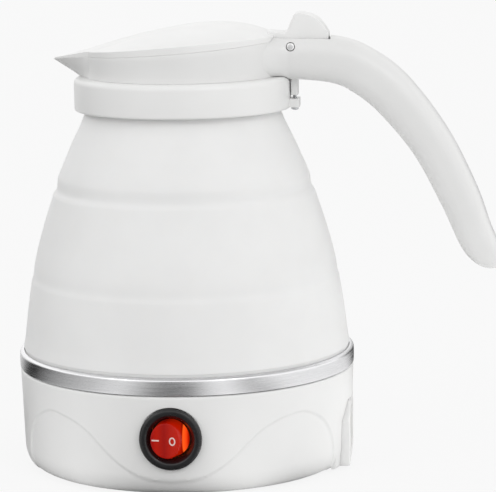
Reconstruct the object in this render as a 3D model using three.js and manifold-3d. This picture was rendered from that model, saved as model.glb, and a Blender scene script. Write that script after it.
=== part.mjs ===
// A collapsible electric kettle: a white base with a steel heating dish, a folding silicone body,
// and a top with a beak, a drooping handle and a hinged lid.
// Millimetres, +Z up, origin on the body's axis at the underside of the base.
// The handle is towards +X and the switch towards -Y.
import * as THREE from "three";
import { mergeVertices } from "three/addons/utils/BufferGeometryUtils.js";
import Module from "manifold-3d";

const wasm = await Module();
wasm.setup();

// Clearances and facets
const touchGap = 0.3;
const pinGap = 0.25;
const cutOverrun = 5;
const weldDistance = 0.0001;
const roundSides = 36;
const smallSides = 16;
const wireSides = 6;
const elementSides = 8;
const elementSteps = 32;

// Steel band, which the base, the dish and the foot of the silicone all follow
const bandRadius = 66.7;

// Base housing
const baseHeight = 38.4;
const bandOverhang = 0.3;
const baseTopRadius = bandRadius - bandOverhang;
const baseDraft = 1.0;
const baseSideRadius = baseTopRadius - baseDraft;
const baseFootTuck = 4.4;
const baseFootRadius = baseSideRadius - baseFootTuck;
const baseFootRound = 8.5;
const baseLipRound = 0.9;
const baseWall = 2.8;
const recessRadius = baseTopRadius - baseWall;
const deckDrop = 3.4;
const deckTop = baseHeight - deckDrop;
const deckThickness = 2.0;
const deckWidth = 17.6;
const deckOpeningRadius = recessRadius - deckWidth;
const bossRadius = 4.0;
const bossInset = 11.6;
const bossCircleRadius = recessRadius - bossInset;
const bossAngles = [60, 180, 300];

// Bottom cover, feet and cover screws
const coverThickness = 2.4;
const coverRim = 1.1;
const coverPadHeight = 4.6;
const footRadius = 6.0;
const footProud = 1.0;
const footRecess = 1.0;
const footInset = 14;
const footCircleRadius = baseFootRadius - footInset;
const footAngles = [45, 135, 225, 315];
const screwHeadRadius = 3.2;
const screwHeadHeight = 1.8;
const screwShaftRadius = 1.4;
const coverScrewLength = 14;
const screwHeadInset = 0.4;

// Steel dish
const panWall = 1.0;
const panClearance = 0.7;
const panRadius = recessRadius - panClearance;
const panCorner = 1.4;
const bandHeight = 7.1;
const bandTop = baseHeight + bandHeight;
const bandRollIn = 1.8;
const bandLipRadius = bandRadius - bandRollIn;
const bandShoulderRise = 0.3;
const bandRollRise = 0.6;
const studRadius = 1.7;
const studLength = 8.3;
const studInset = 9.6;
const studCircleRadius = recessRadius - studInset;
const studAngles = [0, 120, 240];
const nutRadius = 3.3;
const nutHeight = 3.0;

// Heater under the dish
const spreaderClearance = 2;
const spreaderRadius = deckOpeningRadius - spreaderClearance;
const spreaderThickness = 4.6;
const elementInset = 10;
const elementRadius = spreaderRadius - elementInset;
const elementTubeRadius = 3.2;
const elementOpeningAngle = 50;
const elementEndDrop = 9;
const thermostatRadius = 8;
const thermostatHeight = 6.5;
const thermostatNeckRadius = 5.5;
const thermostatNeckHeight = 2.2;
const thermostatX = -6;
const fuseLength = 20;
const fuseRadius = 2.6;
const fuseX = 12;

// Switch
const switchDrop = 16.2;
const switchHeight = baseHeight - switchDrop;
const bezelRadius = 11.5;
const bezelThickness = 2.2;
const bezelRound = 1.2;
const bezelOpeningRadius = 8.1;
const bezelStandOff = 1.2;
const switchBodyRadius = 9.7;
const switchBodyDepth = 15.5;
const switchCavityDepth = 11;
const rockerPivotDepth = 4.2;
const rockerTilt = 14;
const rockerReach = 6.2;
const rockerRearReach = 2.4;
const rockerFaceHalfWidth = 6.1;
const rockerFaceHalfHeight = 6.7;
const rockerWaistRadius = 7.2;
const rockerRearRadius = 6.2;
const lampRadius = 1.6;
const lampLength = 8;
const terminalWidth = 4.8;
const terminalThickness = 0.8;
const terminalLength = 8;
const terminalSpacing = 6;

// Mains inlet
const inletHalfWidth = 20;
const inletDrop = 13.1;
const inletTop = baseHeight - inletDrop;
const inletSetBack = 0.8;
const inletFace = baseTopRadius - inletSetBack;
const inletChamfer = 7;
const inletBlockDepth = 4.6;
const inletFlangeHalfWidth = 22.5;
const inletFlangeDepth = 3.2;
const inletUnderside = 0.4;
const cheekWidth = 4.3;
const cheekInset = 0.25;
const cheekRise = 0.2;
const socketHalfWidth = 12;
const socketBottom = 4.6;
const socketTopStep = 4.3;
const socketTop = inletTop - socketTopStep;
const socketChamfer = 4;
const socketDepth = 19;
const socketWall = 2.2;
const inletPinLength = 12.5;
const inletPinTail = 6;
const inletPinWidth = 2.0;
const inletPinHeight = 4.0;
const inletPinSpacing = 7;
const inletEarthRise = 2.6;

// Wires
const wireRadius = 1.1;
const wireSteps = 12;

// Silicone body
const siliconeWall = 2.2;
const bodyBottomRadius = bandLipRadius;
const bodyBottomRise = 1.1;
const bodyBottom = bandTop + bodyBottomRise;
const bodyHeight = 93.6;
const bodyTopRadius = 38.0;
const bodyTop = bodyBottom + bodyHeight;
const lowerFoldRise = 29.5;
const lowerFoldHeight = bodyBottom + lowerFoldRise;
const foldSpacing = 34.3;
const upperFoldHeight = lowerFoldHeight + foldSpacing;
const foldGroove = 0.5;
const foldHalfHeight = 2.8;
const beadClearance = 0.5;
const beadOuterRadius = bandRadius - panWall - beadClearance;
const beadWidth = 4.2;
const beadInnerRadius = beadOuterRadius - beadWidth;
const beadHeight = 3.4;
const neckBeadWidth = 1.9;
const neckBeadRadius = bodyTopRadius + neckBeadWidth;
const neckBeadHeight = 2.8;
// Height share up the body, and share of the spread between the top radius and the bottom radius.
const bodyOutlineShares = [
  [0.0, 1.0],
  [0.1, 0.958],
  [0.2, 0.918],
  [0.3, 0.855],
  [0.4, 0.78],
  [0.5, 0.678],
  [0.6, 0.565],
  [0.65, 0.505],
  [0.7, 0.44],
  [0.75, 0.39],
  [0.8, 0.33],
  [0.85, 0.24],
  [0.9, 0.16],
  [0.95, 0.065],
  [1.0, 0.0],
];

// Clamp rings
const bodyClampWall = 1.0;
const bodyClampTop = bodyBottom;
const neckClampRadius = bodyTopRadius - siliconeWall - touchGap;
const neckClampWall = 2.0;
const neckClampReach = 1.7;
const neckClampBottom = bodyTop - neckClampReach;
const neckClampFlange = 2.2;

// Collar
const collarStep = 4.6;
const collarRadius = bodyTopRadius + collarStep;
const collarWall = 2.3;
const collarOverlap = 0.2;
const collarBottom = bodyTop - collarOverlap;
const collarHeight = 13.0;
const collarTop = collarBottom + collarHeight;
const collarLip = 2.0;
const collarPlate = 2.2;
const collarMouthStep = 0.5;
const collarMouthRadius = neckClampRadius - neckClampWall - collarMouthStep;
const collarTopRound = 2.4;
const collarFootRound = 1.0;
const lugLength = 3.6;
const lugReach = collarRadius + lugLength;
const lugHeight = 3.8;
const lugTop = collarBottom + lugHeight;
const lugHalfWidth = 5;

// Pouring ring and beak
const ringInset = 5.3;
const ringRadius = collarRadius - ringInset;
const ringWall = 2.2;
const ringWebThickness = 2.2;
const skirtRadius = collarMouthRadius - touchGap;
const skirtWall = 1.7;
const skirtReach = 7;
const skirtBottom = collarTop - skirtReach;
const ringHeight = 11.1;
const rimHeight = collarTop + ringHeight;
const rimTilt = 4.26;
const beakLength = 13.5;
const beakReach = ringRadius + beakLength;
const beakFootLength = 3.1;
const beakFootReach = ringRadius + beakFootLength;
const beakHalfAngle = 20;
const beakWall = 3.0;
const beakTipDrop = 0.4;

// Handle
const handleRootDepth = 3.0;
const handleRootX = ringRadius - handleRootDepth;
const handleLength = 92.7;
const handleRootDrop = 4.2;
const handleRootHeight = rimHeight - handleRootDrop;
const handleDrop = 84;
const handleThickness = 18.2;
const handleWidth = 22;
const handleSteps = 20;
const handleSectionSides = 16;
const handleStripSteps = 12;
const handleSquareness = 3.2;
const handleEndRound = 15;
const handleStepShare = 0.85;
const handleTipShare = 0.04;
// Along the handle: share of its length, share of the drop, share of the thickness, share of the width.
const handleShares = [
  [0.0, 0.0, 0.93, 1.0],
  [0.115, 0.0, 0.94, 1.0],
  [0.279, 0.013, 1.0, 1.0],
  [0.393, 0.062, 1.0, 1.0],
  [0.522, 0.173, 0.99, 1.0],
  [0.679, 0.393, 0.915, 0.98],
  [0.798, 0.645, 0.87, 0.95],
  [0.884, 0.87, 0.78, 0.9],
  [0.975, 0.985, 0.78, 0.86],
];
const handleHollowDepthShare = 0.62;
const handleHollowHalfWidth = 6.2;
const handleCoverThickness = 2.2;
const handleCoverInset = 0.2;
const handleHollowStartShare = 0.36;
const handleHollowEndShare = 0.86;
const handlePostStart = collarRadius + touchGap;
const handlePostDepth = 2.7;
const handlePostReach = handlePostStart + handlePostDepth;
const handlePostRise = 5.2;
const handlePostBottom = collarBottom + handlePostRise;
const handlePostHalfWidth = 4;
const gripScrewShares = [0.44, 0.78];
const gripScrewRadius = 1.1;
const gripScrewHeadRadius = 2.2;
const gripScrewHeadHeight = 1.2;
const gripScrewLength = 8;
const gripBossRadius = 2.6;
const collarScrewRadius = 0.8;
const collarScrewHeadRadius = 1.5;
const collarScrewHeadHeight = 1.2;

// Lid hinge
const hingeOffset = 6.0;
const hingeX = ringRadius + hingeOffset;
const hingeRise = 0.5;
const hingeHeight = rimHeight + hingeRise;
const hingePinRadius = 1.5;
const hingePinInset = 0.2;
const forkHalfWidth = 7.1;
const forkSetBack = 1.1;
const forkStart = ringRadius + forkSetBack;
const forkLength = 21.2;
const forkEnd = forkStart + forkLength;
const forkFloorRise = 0.4;
const forkFloor = collarTop + forkFloorRise;
const tailHalfWidth = 6.7;
// The tail and the thumb tab, from the hinge pin, towards +X and up, as shares of the tab's height.
const tabHeight = 12.9;
const tailOutlineShares = [
  [-0.72, 0.22],
  [-0.33, 0.2],
  [-0.3, -0.1],
  [-0.16, -0.26],
  [0.1, -0.27],
  [0.29, -0.12],
  [0.36, 0.1],
  [1.05, 0.2],
  [1.12, 0.36],
  [1.01, 0.57],
  [0.84, 0.78],
  [0.64, 0.9],
  [0.31, 1.0],
  [0.11, 0.99],
  [0.0, 0.75],
  [-0.15, 0.39],
  [-0.72, 0.45],
];

// Lid
const lidInset = 0.3;
const lidEdge = 2.1;
const lidDomeHeight = 8.3;
const lidDomeForward = 4;
const lidWall = 2.0;
const lidBeakInset = 1.5;
const lidBeakReach = beakReach - lidBeakInset;
const lidRingShares = [1.0, 0.88, 0.7, 0.46, 0.18];
const lidInnerEdgeShare = 0.9;
const lidDomePowerShare = 2.2;
const lidSealClearance = 0.4;
const lidSealRadius = ringRadius - ringWall - lidSealClearance;
const lidSealWall = 3.2;
const lidSealHeight = 2.2;
const lidSealLip = 1.7;
const lidPlateRadius = lidSealRadius - lidSealLip;
const lidPlateTop = 4.0;
const lidPlateThickness = 1.6;
const lidSkirtRadius = lidPlateRadius;
const lidSkirtWall = 2.6;
const lidSkirtBottom = 1.4;
const lidBossRadius = 3.2;
const lidBossInset = 12;
const lidBossCircleRadius = lidPlateRadius - lidBossInset;
const lidBossAngles = [60, 180, 300];
const lidScrewRadius = 1.2;
const lidScrewHeadRadius = 2.6;
const lidScrewHeadHeight = 1.4;
const lidScrewLength = 8;

const whitePlastic = plastic("#f2f2f0", 0.35);
const clearSilicone = plastic("#ebebe9", 0.55);
const blackPlastic = plastic("#1b1b1c", 0.4);
const redLens = plastic("#d01c10", 0.2);
const rubber = plastic("#d9d9d6", 0.8);
const steel = metal("#c9cacc", 0.25);
const brass = metal("#c9b36a", 0.35);
const aluminium = metal("#b9bbbd", 0.5);
const wireRed = plastic("#a83028", 0.6);
const wireBlue = plastic("#3b62a8", 0.6);
const wireGreen = plastic("#5f9a3c", 0.6);
const heaterSheath = metal("#6f7174", 0.5);
const ceramic = plastic("#e6dfd0", 0.7);
const lampGlass = plastic("#ffb070", 0.2);

function plastic(color, roughness) {
  return new THREE.MeshStandardMaterial({ color, roughness, metalness: 0 });
}

function metal(color, roughness) {
  return new THREE.MeshStandardMaterial({ color, roughness, metalness: 1 });
}

// A closed geometry as a solid whose faces point outwards.
function solid(geometry) {
  const bare = geometry.index ? geometry.toNonIndexed() : geometry.clone();
  bare.deleteAttribute("normal");
  bare.deleteAttribute("uv");
  const merged = mergeVertices(bare, weldDistance);
  const corners = merged.index.array;
  const triangles = [];
  for (let i = 0; i < corners.length; i += 3) {
    const [a, b, c] = [corners[i], corners[i + 1], corners[i + 2]];
    if (a !== b && b !== c && c !== a) triangles.push(a, b, c);
  }
  const places = merged.attributes.position.array;
  const made = solidFromTriangles(places, triangles);
  return made.volume() > 0 ? made : solidFromTriangles(places, triangles.reverse());
}

function solidFromTriangles(vertProperties, triangles) {
  const triVerts = new Uint32Array(triangles);
  return new wasm.Manifold(new wasm.Mesh({ numProp: 3, vertProperties, triVerts }));
}

function join(solids) {
  return solids.reduce((whole, next) => whole.add(next));
}

// A named mesh with the solid's surface.
function piece(name, shape, material) {
  const data = shape.getMesh();
  const indexed = new THREE.BufferGeometry();
  indexed.setAttribute("position", new THREE.BufferAttribute(data.vertProperties, 3));
  indexed.setIndex(new THREE.BufferAttribute(data.triVerts, 1));
  const geometry = indexed.toNonIndexed();
  geometry.computeVertexNormals();
  const mesh = new THREE.Mesh(geometry, material);
  mesh.name = name;
  return mesh;
}

function radians(degrees) {
  return THREE.MathUtils.degToRad(degrees);
}

// A solid of revolution about +Z, from [radius, height] points that close on themselves or on the axis.
function revolve(points, sides = roundSides) {
  const profile = points.map(([radius, height]) => new THREE.Vector2(radius, height));
  if (points[0][0] > 0) profile.push(profile[0].clone());
  return solid(new THREE.LatheGeometry(profile, sides).rotateX(Math.PI / 2));
}

function ring(innerRadius, outerRadius, bottom, top, sides = roundSides) {
  const profile = [
    [innerRadius, bottom],
    [outerRadius, bottom],
    [outerRadius, top],
    [innerRadius, top],
  ];
  return revolve(profile, sides);
}

// An upright cylinder.
function post(radius, bottom, top, x = 0, y = 0, sides = smallSides) {
  const shape = new THREE.CylinderGeometry(radius, radius, top - bottom, sides).rotateX(Math.PI / 2);
  return solid(shape.translate(x, y, (bottom + top) / 2));
}

// An upright cylinder on the body's axis.
function disc(radius, bottom, top) {
  return post(radius, bottom, top, 0, 0, roundSides);
}

// A box from its lowest corner to its highest.
function block(low, high) {
  const size = high.map((value, axis) => value - low[axis]);
  const middle = high.map((value, axis) => (value + low[axis]) / 2);
  return solid(new THREE.BoxGeometry(...size).translate(...middle));
}

// An outline of [first, second] points, drawn out evenly on both sides of its plane.
function plate(outline, thickness, bevel = 0, bevelSegments = 2) {
  const shape = new THREE.Shape(outline.map(([u, v]) => new THREE.Vector2(u, v)));
  const options = {
    depth: thickness - 2 * bevel,
    bevelEnabled: bevel > 0,
    bevelThickness: bevel,
    bevelSize: bevel,
    bevelOffset: -bevel,
    bevelSegments,
  };
  return new THREE.ExtrudeGeometry(shape, options).translate(0, 0, bevel - thickness / 2);
}

// The same number of points in each section, joined in order; a loop closes on its first section.
function loft(sections, isLoop = false) {
  const sides = sections[0].length;
  const points = sections.flat();
  const triangles = [];
  const bands = isLoop ? sections.length : sections.length - 1;
  for (let band = 0; band < bands; band++) {
    const next = (band + 1) % sections.length;
    for (let side = 0; side < sides; side++) {
      const after = (side + 1) % sides;
      const [a, b] = [band * sides + side, band * sides + after];
      const [c, d] = [next * sides + side, next * sides + after];
      triangles.push(a, b, d, a, d, c);
    }
  }
  if (!isLoop) {
    closeEnd(sections[0], 0, points, triangles, false);
    closeEnd(sections.at(-1), (sections.length - 1) * sides, points, triangles, true);
  }
  return solidFromPoints(points, triangles);
}

function closeEnd(section, first, points, triangles, isLast) {
  const middle = new THREE.Vector3();
  section.forEach((point) => middle.add(point));
  middle.divideScalar(section.length);
  const centre = points.push(middle) - 1;
  section.forEach((_, side) => {
    const [a, b] = [first + side, first + ((side + 1) % section.length)];
    triangles.push(...(isLast ? [a, b, centre] : [b, a, centre]));
  });
}

function solidFromPoints(points, triangles) {
  const positions = new Float32Array(points.flatMap((point) => point.toArray()));
  const geometry = new THREE.BufferGeometry();
  geometry.setAttribute("position", new THREE.BufferAttribute(positions, 3));
  geometry.setIndex(triangles);
  return solid(geometry);
}

function around(radius, degrees) {
  return [radius * Math.cos(radians(degrees)), radius * Math.sin(radians(degrees))];
}

// Points round a circle of radius 1.
function circlePoints(sides) {
  return Array.from({ length: sides }, (_, side) => around(1, (360 * side) / sides));
}

// Quarter of an ellipse from [radius, bottom] of a foot up to the side above it.
function quarterRound(from, to, steps, bulgesOut = true) {
  const points = [];
  for (let step = 1; step < steps; step++) {
    const angle = (Math.PI / 2) * (step / steps);
    const [far, near] = [Math.sin(angle), 1 - Math.cos(angle)];
    const [across, up] = bulgesOut ? [far, near] : [near, far];
    points.push([from[0] + (to[0] - from[0]) * across, from[1] + (to[1] - from[1]) * up]);
  }
  return points;
}

// The bezel's two faces, as y.
const bezelBack = -(baseTopRadius - bezelStandOff + touchGap);
const bezelFront = bezelBack - bezelThickness;

// The front of the inlet's flange, as x: its corners stand just inside the housing's wall.
const wallAtFlange = Math.sqrt((baseSideRadius - baseWall) ** 2 - inletFlangeHalfWidth ** 2);
const inletFlangeFront = wallAtFlange - 2 * touchGap;

// Base

function baseShell() {
  const innerFoot = baseFootRadius - coverRim;
  const innerSide = baseSideRadius - baseWall;
  const deckUnder = deckTop - deckThickness;
  const outside = [
    [baseFootRadius, 0],
    ...quarterRound([baseFootRadius, 0], [baseSideRadius, baseFootRound], 4),
    [baseSideRadius, baseFootRound],
    [baseTopRadius, baseHeight - baseLipRound],
    [baseTopRadius - baseLipRound, baseHeight],
  ];
  const inside = [
    [recessRadius, baseHeight],
    [recessRadius, deckTop],
    [deckOpeningRadius, deckTop],
    [deckOpeningRadius, deckUnder],
    [recessRadius, deckUnder],
    [innerSide, baseFootRound],
    [innerFoot, coverThickness + touchGap],
    [innerFoot, 0],
  ];
  let shell = revolve([...outside, ...inside]);
  for (const angle of bossAngles) {
    const [x, y] = around(bossCircleRadius, angle);
    const bossBottom = coverPadHeight + touchGap;
    shell = shell.add(post(bossRadius, bossBottom, deckUnder + deckThickness / 2, x, y));
    const holeTop = screwHeadInset + screwHeadHeight + coverScrewLength + touchGap;
    shell = shell.subtract(post(screwShaftRadius + pinGap, bossBottom - cutOverrun, holeTop, x, y));
  }
  for (const angle of studAngles) {
    const [x, y] = around(studCircleRadius, angle);
    shell = shell.subtract(post(studRadius + touchGap, deckUnder - cutOverrun, deckTop + cutOverrun, x, y));
  }
  shell = join([shell, ...inletCheeks()]).subtract(switchHole()).subtract(inletCut());
  return piece("base_shell", shell, whitePlastic);
}

// Two blocks that fill the tucked-in foot on both sides of the inlet, in front of its flange.
function inletCheeks() {
  const rim = ring(inletFlangeFront, baseSideRadius - cheekInset, cheekRise, baseFootRound);
  const [near, far] = [inletHalfWidth, inletHalfWidth + touchGap + cheekWidth];
  return [[near, far], [-far, -near]].map(([low, high]) => {
    return rim.intersect(block([inletFlangeFront + 2 * touchGap, low, 0], [baseTopRadius, high, baseHeight]));
  });
}

// The round hole for the switch, with a shallow flat in the curved wall for its bezel.
function switchHole() {
  const outside = baseTopRadius + cutOverrun;
  const seat = -bezelBack - touchGap;
  return facingSwitch([
    [0, baseSideRadius - baseWall - cutOverrun],
    [switchBodyRadius + touchGap, baseSideRadius - baseWall - cutOverrun],
    [switchBodyRadius + touchGap, seat],
    [bezelRadius + touchGap, seat],
    [bezelRadius + touchGap, outside],
    [0, outside],
  ]);
}

function inletCut() {
  const outline = inletOutline(inletHalfWidth + touchGap, -cutOverrun, inletTop + touchGap);
  return alongX(plate(outline, 4 * inletBlockDepth), inletFace - inletBlockDepth);
}

// The inlet's front outline in Y and Z, with its two top corners cut off.
function inletOutline(halfWidth, bottom, top, chamfer = inletChamfer) {
  return [
    [-halfWidth, bottom],
    [halfWidth, bottom],
    [halfWidth, top - chamfer],
    [halfWidth - chamfer, top],
    [chamfer - halfWidth, top],
    [-halfWidth, top - chamfer],
  ];
}

// A plate drawn in Y and Z, turned to face +X, with its middle plane at x.
function alongX(geometry, x) {
  return solid(geometry.rotateX(Math.PI / 2).rotateZ(Math.PI / 2).translate(x, 0, 0));
}

function bottomCover() {
  let cover = revolve([
    [0, 0],
    [baseFootRadius - coverRim - touchGap, 0],
    [baseFootRadius - coverRim - touchGap, coverThickness],
    [0, coverThickness],
  ]);
  for (const angle of bossAngles) {
    const [x, y] = around(bossCircleRadius, angle);
    const headSpace = screwHeadInset + screwHeadHeight + touchGap;
    cover = cover.add(post(screwHeadRadius + coverThickness, coverThickness / 2, coverPadHeight, x, y));
    cover = cover.subtract(post(screwHeadRadius + touchGap, -cutOverrun, headSpace, x, y));
    cover = cover.subtract(post(screwShaftRadius + touchGap, -cutOverrun, coverPadHeight + cutOverrun, x, y));
  }
  for (const angle of footAngles) {
    const at = around(footCircleRadius, angle);
    cover = cover.subtract(post(footRadius + touchGap, -cutOverrun, footRecess, ...at));
  }
  return piece("bottom_cover", cover, whitePlastic);
}

function feet() {
  return footAngles.map((angle, i) => {
    const at = around(footCircleRadius, angle);
    return piece(`foot_${i + 1}`, post(footRadius, -footProud, footRecess - touchGap, ...at), rubber);
  });
}

// A screw that points up, with the bottom of its head at a height.
function screwUp(headRadius, headHeight, shaftRadius, length, bottom, x, y) {
  const head = post(headRadius, bottom, bottom + headHeight, x, y);
  return head.add(post(shaftRadius, bottom + headHeight / 2, bottom + headHeight + length, x, y));
}

function coverScrews() {
  return bossAngles.map((angle, i) => {
    const size = [screwHeadRadius, screwHeadHeight, screwShaftRadius, coverScrewLength];
    const screw = screwUp(...size, screwHeadInset, ...around(bossCircleRadius, angle));
    return piece(`cover_screw_${i + 1}`, screw, steel);
  });
}

// Dish and heater

const panUnderside = deckTop + touchGap;
const panFloor = panUnderside + panWall;
const panShoulder = baseHeight + bandShoulderRise;

function steelPan() {
  const bandInner = bandRadius - panWall;
  const outside = [
    [0, panUnderside],
    [panRadius - panCorner, panUnderside],
    [panRadius, panUnderside + panCorner],
    [panRadius, panShoulder],
    [bandRadius - panWall / 2, panShoulder],
    [bandRadius - panWall / 10, panShoulder + panWall / 2],
    [bandRadius, (panShoulder + bandTop) / 2],
    [bandRadius - panWall / 3, bandTop - panWall - bandRollRise],
    [bandRadius - panWall, bandTop - panWall + bandRollRise],
    [bandLipRadius, bandTop],
  ];
  const inside = [
    [bandLipRadius, bandTop - bandRollRise],
    [bandInner - panWall / 4, bandTop - panWall - bandRollRise],
    [bandInner, (panShoulder + bandTop) / 2],
    [bandInner, panShoulder + panWall],
    [panRadius - panWall, panShoulder + panWall],
    [panRadius - panWall, panFloor + panCorner],
    [panRadius - panWall - panCorner, panFloor],
    [0, panFloor],
  ];
  let pan = revolve([...outside, ...inside]);
  for (const angle of studAngles) {
    const at = around(studCircleRadius, angle);
    pan = pan.add(post(studRadius, panUnderside - studLength, panFloor - panWall / 2, ...at));
  }
  return piece("steel_pan", pan, steel);
}

function panNuts() {
  const top = deckTop - deckThickness - touchGap;
  return studAngles.map((angle, i) => {
    const at = around(studCircleRadius, angle);
    const nut = post(nutRadius, top - nutHeight, top, ...at, 6);
    const bore = post(studRadius + pinGap, top - nutHeight - cutOverrun, top + cutOverrun, ...at);
    return piece(`pan_nut_${i + 1}`, nut.subtract(bore), steel);
  });
}

function bodyClampRing() {
  const outer = beadInnerRadius - touchGap;
  const shape = ring(outer - bodyClampWall, outer, panFloor + touchGap, bodyClampTop);
  return piece("body_clamp_ring", shape, steel);
}

const spreaderTop = panUnderside - touchGap;
const spreaderUnderside = spreaderTop - spreaderThickness;

function heatSpreader() {
  return piece("heat_spreader", revolve([
    [0, spreaderUnderside],
    [spreaderRadius, spreaderUnderside],
    [spreaderRadius, spreaderTop],
    [0, spreaderTop],
  ]), aluminium);
}

const elementHeight = spreaderUnderside - touchGap - elementTubeRadius;

// Where the element's two ends come down, at -Y, as [x, y].
function elementEnds() {
  const angles = [270 - elementOpeningAngle / 2, 270 + elementOpeningAngle / 2];
  return angles.map((angle) => around(elementRadius, angle));
}

function heatingElement() {
  const first = 270 + elementOpeningAngle / 2;
  const sweep = 360 - elementOpeningAngle;
  const route = [];
  for (let i = 0; i <= elementSteps; i++) {
    const [x, y] = around(elementRadius, first + (sweep * i) / elementSteps);
    route.push(new THREE.Vector3(x, y, elementHeight));
  }
  const tube = sweptTube(route, elementTubeRadius, elementSides, elementSteps);
  const ends = elementEnds().map(([x, y]) => {
    return post(elementTubeRadius, elementHeight - elementEndDrop, elementHeight, x, y, elementSides);
  });
  return piece("heating_element", join([tube, ...ends]), heaterSheath);
}

function sweptTube(route, radius, sides, steps) {
  const section = new THREE.Shape();
  section.setFromPoints(circlePoints(sides).map(([u, v]) => new THREE.Vector2(radius * u, radius * v)));
  const path = new THREE.CatmullRomCurve3(route);
  return solid(new THREE.ExtrudeGeometry(section, { steps, extrudePath: path, bevelEnabled: false }));
}

const thermostatTop = spreaderUnderside - touchGap;

function thermostat() {
  const body = post(thermostatRadius, thermostatTop - thermostatHeight, thermostatTop, thermostatX, 0);
  const neckBottom = thermostatTop - thermostatHeight - thermostatNeckHeight;
  const neck = post(thermostatNeckRadius, neckBottom, thermostatTop - thermostatHeight / 2, thermostatX, 0);
  return piece("thermostat", body.add(neck), blackPlastic);
}

function thermalFuse() {
  const barrel = new THREE.CylinderGeometry(fuseRadius, fuseRadius, fuseLength, smallSides);
  const height = spreaderUnderside - touchGap - fuseRadius;
  return piece("thermal_fuse", solid(barrel.translate(fuseX, 0, height)), ceramic);
}

// Switch

// A revolved shape about the switch's axis, from [radius, reach towards -Y] points that end on the axis.
function facingSwitch(points) {
  const profile = points.map(([radius, reach]) => new THREE.Vector2(radius, reach));
  const shape = new THREE.LatheGeometry(profile, 2 * smallSides).rotateX(Math.PI);
  return solid(shape.translate(0, 0, switchHeight));
}

function switchBody() {
  const front = -bezelFront;
  const back = -bezelBack;
  const rear = back - switchBodyDepth;
  let body = facingSwitch([
    [0, rear],
    [switchBodyRadius, rear],
    [switchBodyRadius, back],
    [bezelRadius, back],
    [bezelRadius, front - bezelRound],
    [bezelRadius - bezelRound / 3, front - bezelRound / 3],
    [bezelRadius - bezelRound, front],
    [bezelOpeningRadius + bezelRound / 3, front],
    [bezelOpeningRadius, front - bezelRound / 2],
    [bezelOpeningRadius, front - switchCavityDepth],
    [0, front - switchCavityDepth],
  ]);
  const halfWidth = terminalWidth / 2 + touchGap;
  const halfThickness = terminalThickness / 2 + touchGap;
  for (const x of terminalPlaces()) {
    body = body.subtract(block(
      [x - halfWidth, -(rear + terminalSeat()), switchHeight - halfThickness],
      [x + halfWidth, cutOverrun - rear, switchHeight + halfThickness],
    ));
  }
  return piece("switch_body", body, blackPlastic);
}

// How deep a terminal sits in the switch's back wall.
function terminalSeat() {
  return (switchBodyDepth + bezelThickness - switchCavityDepth) / 2;
}

function terminalPlaces() {
  return [-terminalSpacing, 0, terminalSpacing];
}

const terminalFront = bezelBack + switchBodyDepth - terminalSeat() + touchGap;
const terminalRear = bezelBack + switchBodyDepth + terminalLength;

function switchTerminals() {
  return terminalPlaces().map((x, i) => {
    const low = [x - terminalWidth / 2, terminalFront, switchHeight - terminalThickness / 2];
    const high = [x + terminalWidth / 2, terminalRear, switchHeight + terminalThickness / 2];
    return piece(`switch_terminal_${i + 1}`, block(low, high), brass);
  });
}

const rockerPivotY = bezelFront + rockerPivotDepth;

// The rocker as it stands when on: its left side pressed in, its right side out.
function switchRocker() {
  const cheekHalfWidth = (rockerFaceHalfWidth + rockerWaistRadius) / 2;
  const cheekHalfHeight = (rockerFaceHalfHeight + rockerWaistRadius) / 2;
  const sizes = [
    [-rockerReach, rockerFaceHalfWidth, rockerFaceHalfHeight],
    [-rockerReach / 2, cheekHalfWidth, cheekHalfHeight],
    [0, rockerWaistRadius, rockerWaistRadius],
    [rockerRearReach, rockerRearRadius, rockerRearRadius],
  ];
  const sections = sizes.map(([y, halfWidth, halfHeight]) => {
    return circlePoints(2 * smallSides).map(([u, v]) => new THREE.Vector3(halfWidth * u, y, halfHeight * v));
  });
  const turn = new THREE.Matrix4().makeRotationZ(radians(-rockerTilt));
  turn.setPosition(0, rockerPivotY, switchHeight);
  sections.flat().forEach((point) => point.applyMatrix4(turn));
  return piece("switch_rocker", loft(sections), redLens);
}

function switchLamp() {
  const lamp = new THREE.CylinderGeometry(lampRadius, lampRadius, lampLength, smallSides);
  const y = bezelFront + switchCavityDepth - touchGap - lampRadius;
  return piece("switch_lamp", solid(lamp.rotateX(Math.PI / 2).translate(0, y, switchHeight)), lampGlass);
}

// Mains inlet

const socketFloorX = inletFace - socketDepth;
const inletRear = socketFloorX - socketWall;

function inletSocket() {
  const front = alongX(
    plate(inletOutline(inletHalfWidth, inletUnderside, inletTop), inletBlockDepth),
    inletFace - inletBlockDepth / 2,
  );
  const flange = block(
    [inletFlangeFront - inletFlangeDepth, -inletFlangeHalfWidth, baseFootRound],
    [inletFlangeFront, inletFlangeHalfWidth, inletTop - inletChamfer],
  );
  const joining = block(
    [inletFlangeFront - inletFlangeDepth, -socketHalfWidth - socketWall, coverThickness + touchGap],
    [inletFace - inletBlockDepth / 2, socketHalfWidth + socketWall, socketTop + socketWall],
  );
  const box = block(
    [inletRear, -socketHalfWidth - socketWall, coverThickness + touchGap],
    [inletFace - inletBlockDepth / 2, socketHalfWidth + socketWall, socketTop + socketWall],
  );
  const opening = inletOutline(socketHalfWidth, socketBottom, socketTop, socketChamfer);
  const cavity = alongX(plate(opening, socketDepth + cutOverrun), inletFace + (cutOverrun - socketDepth) / 2);
  let socket = join([front, flange, joining, box]).subtract(cavity);
  for (const [y, z] of inletPinPlaces()) {
    const hole = [inletPinWidth / 2 + touchGap, inletPinHeight / 2 + touchGap];
    socket = socket.subtract(block(
      [inletRear - cutOverrun, y - hole[0], z - hole[1]],
      [socketFloorX + cutOverrun, y + hole[0], z + hole[1]],
    ));
  }
  return piece("inlet_socket", socket, whitePlastic);
}

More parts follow.
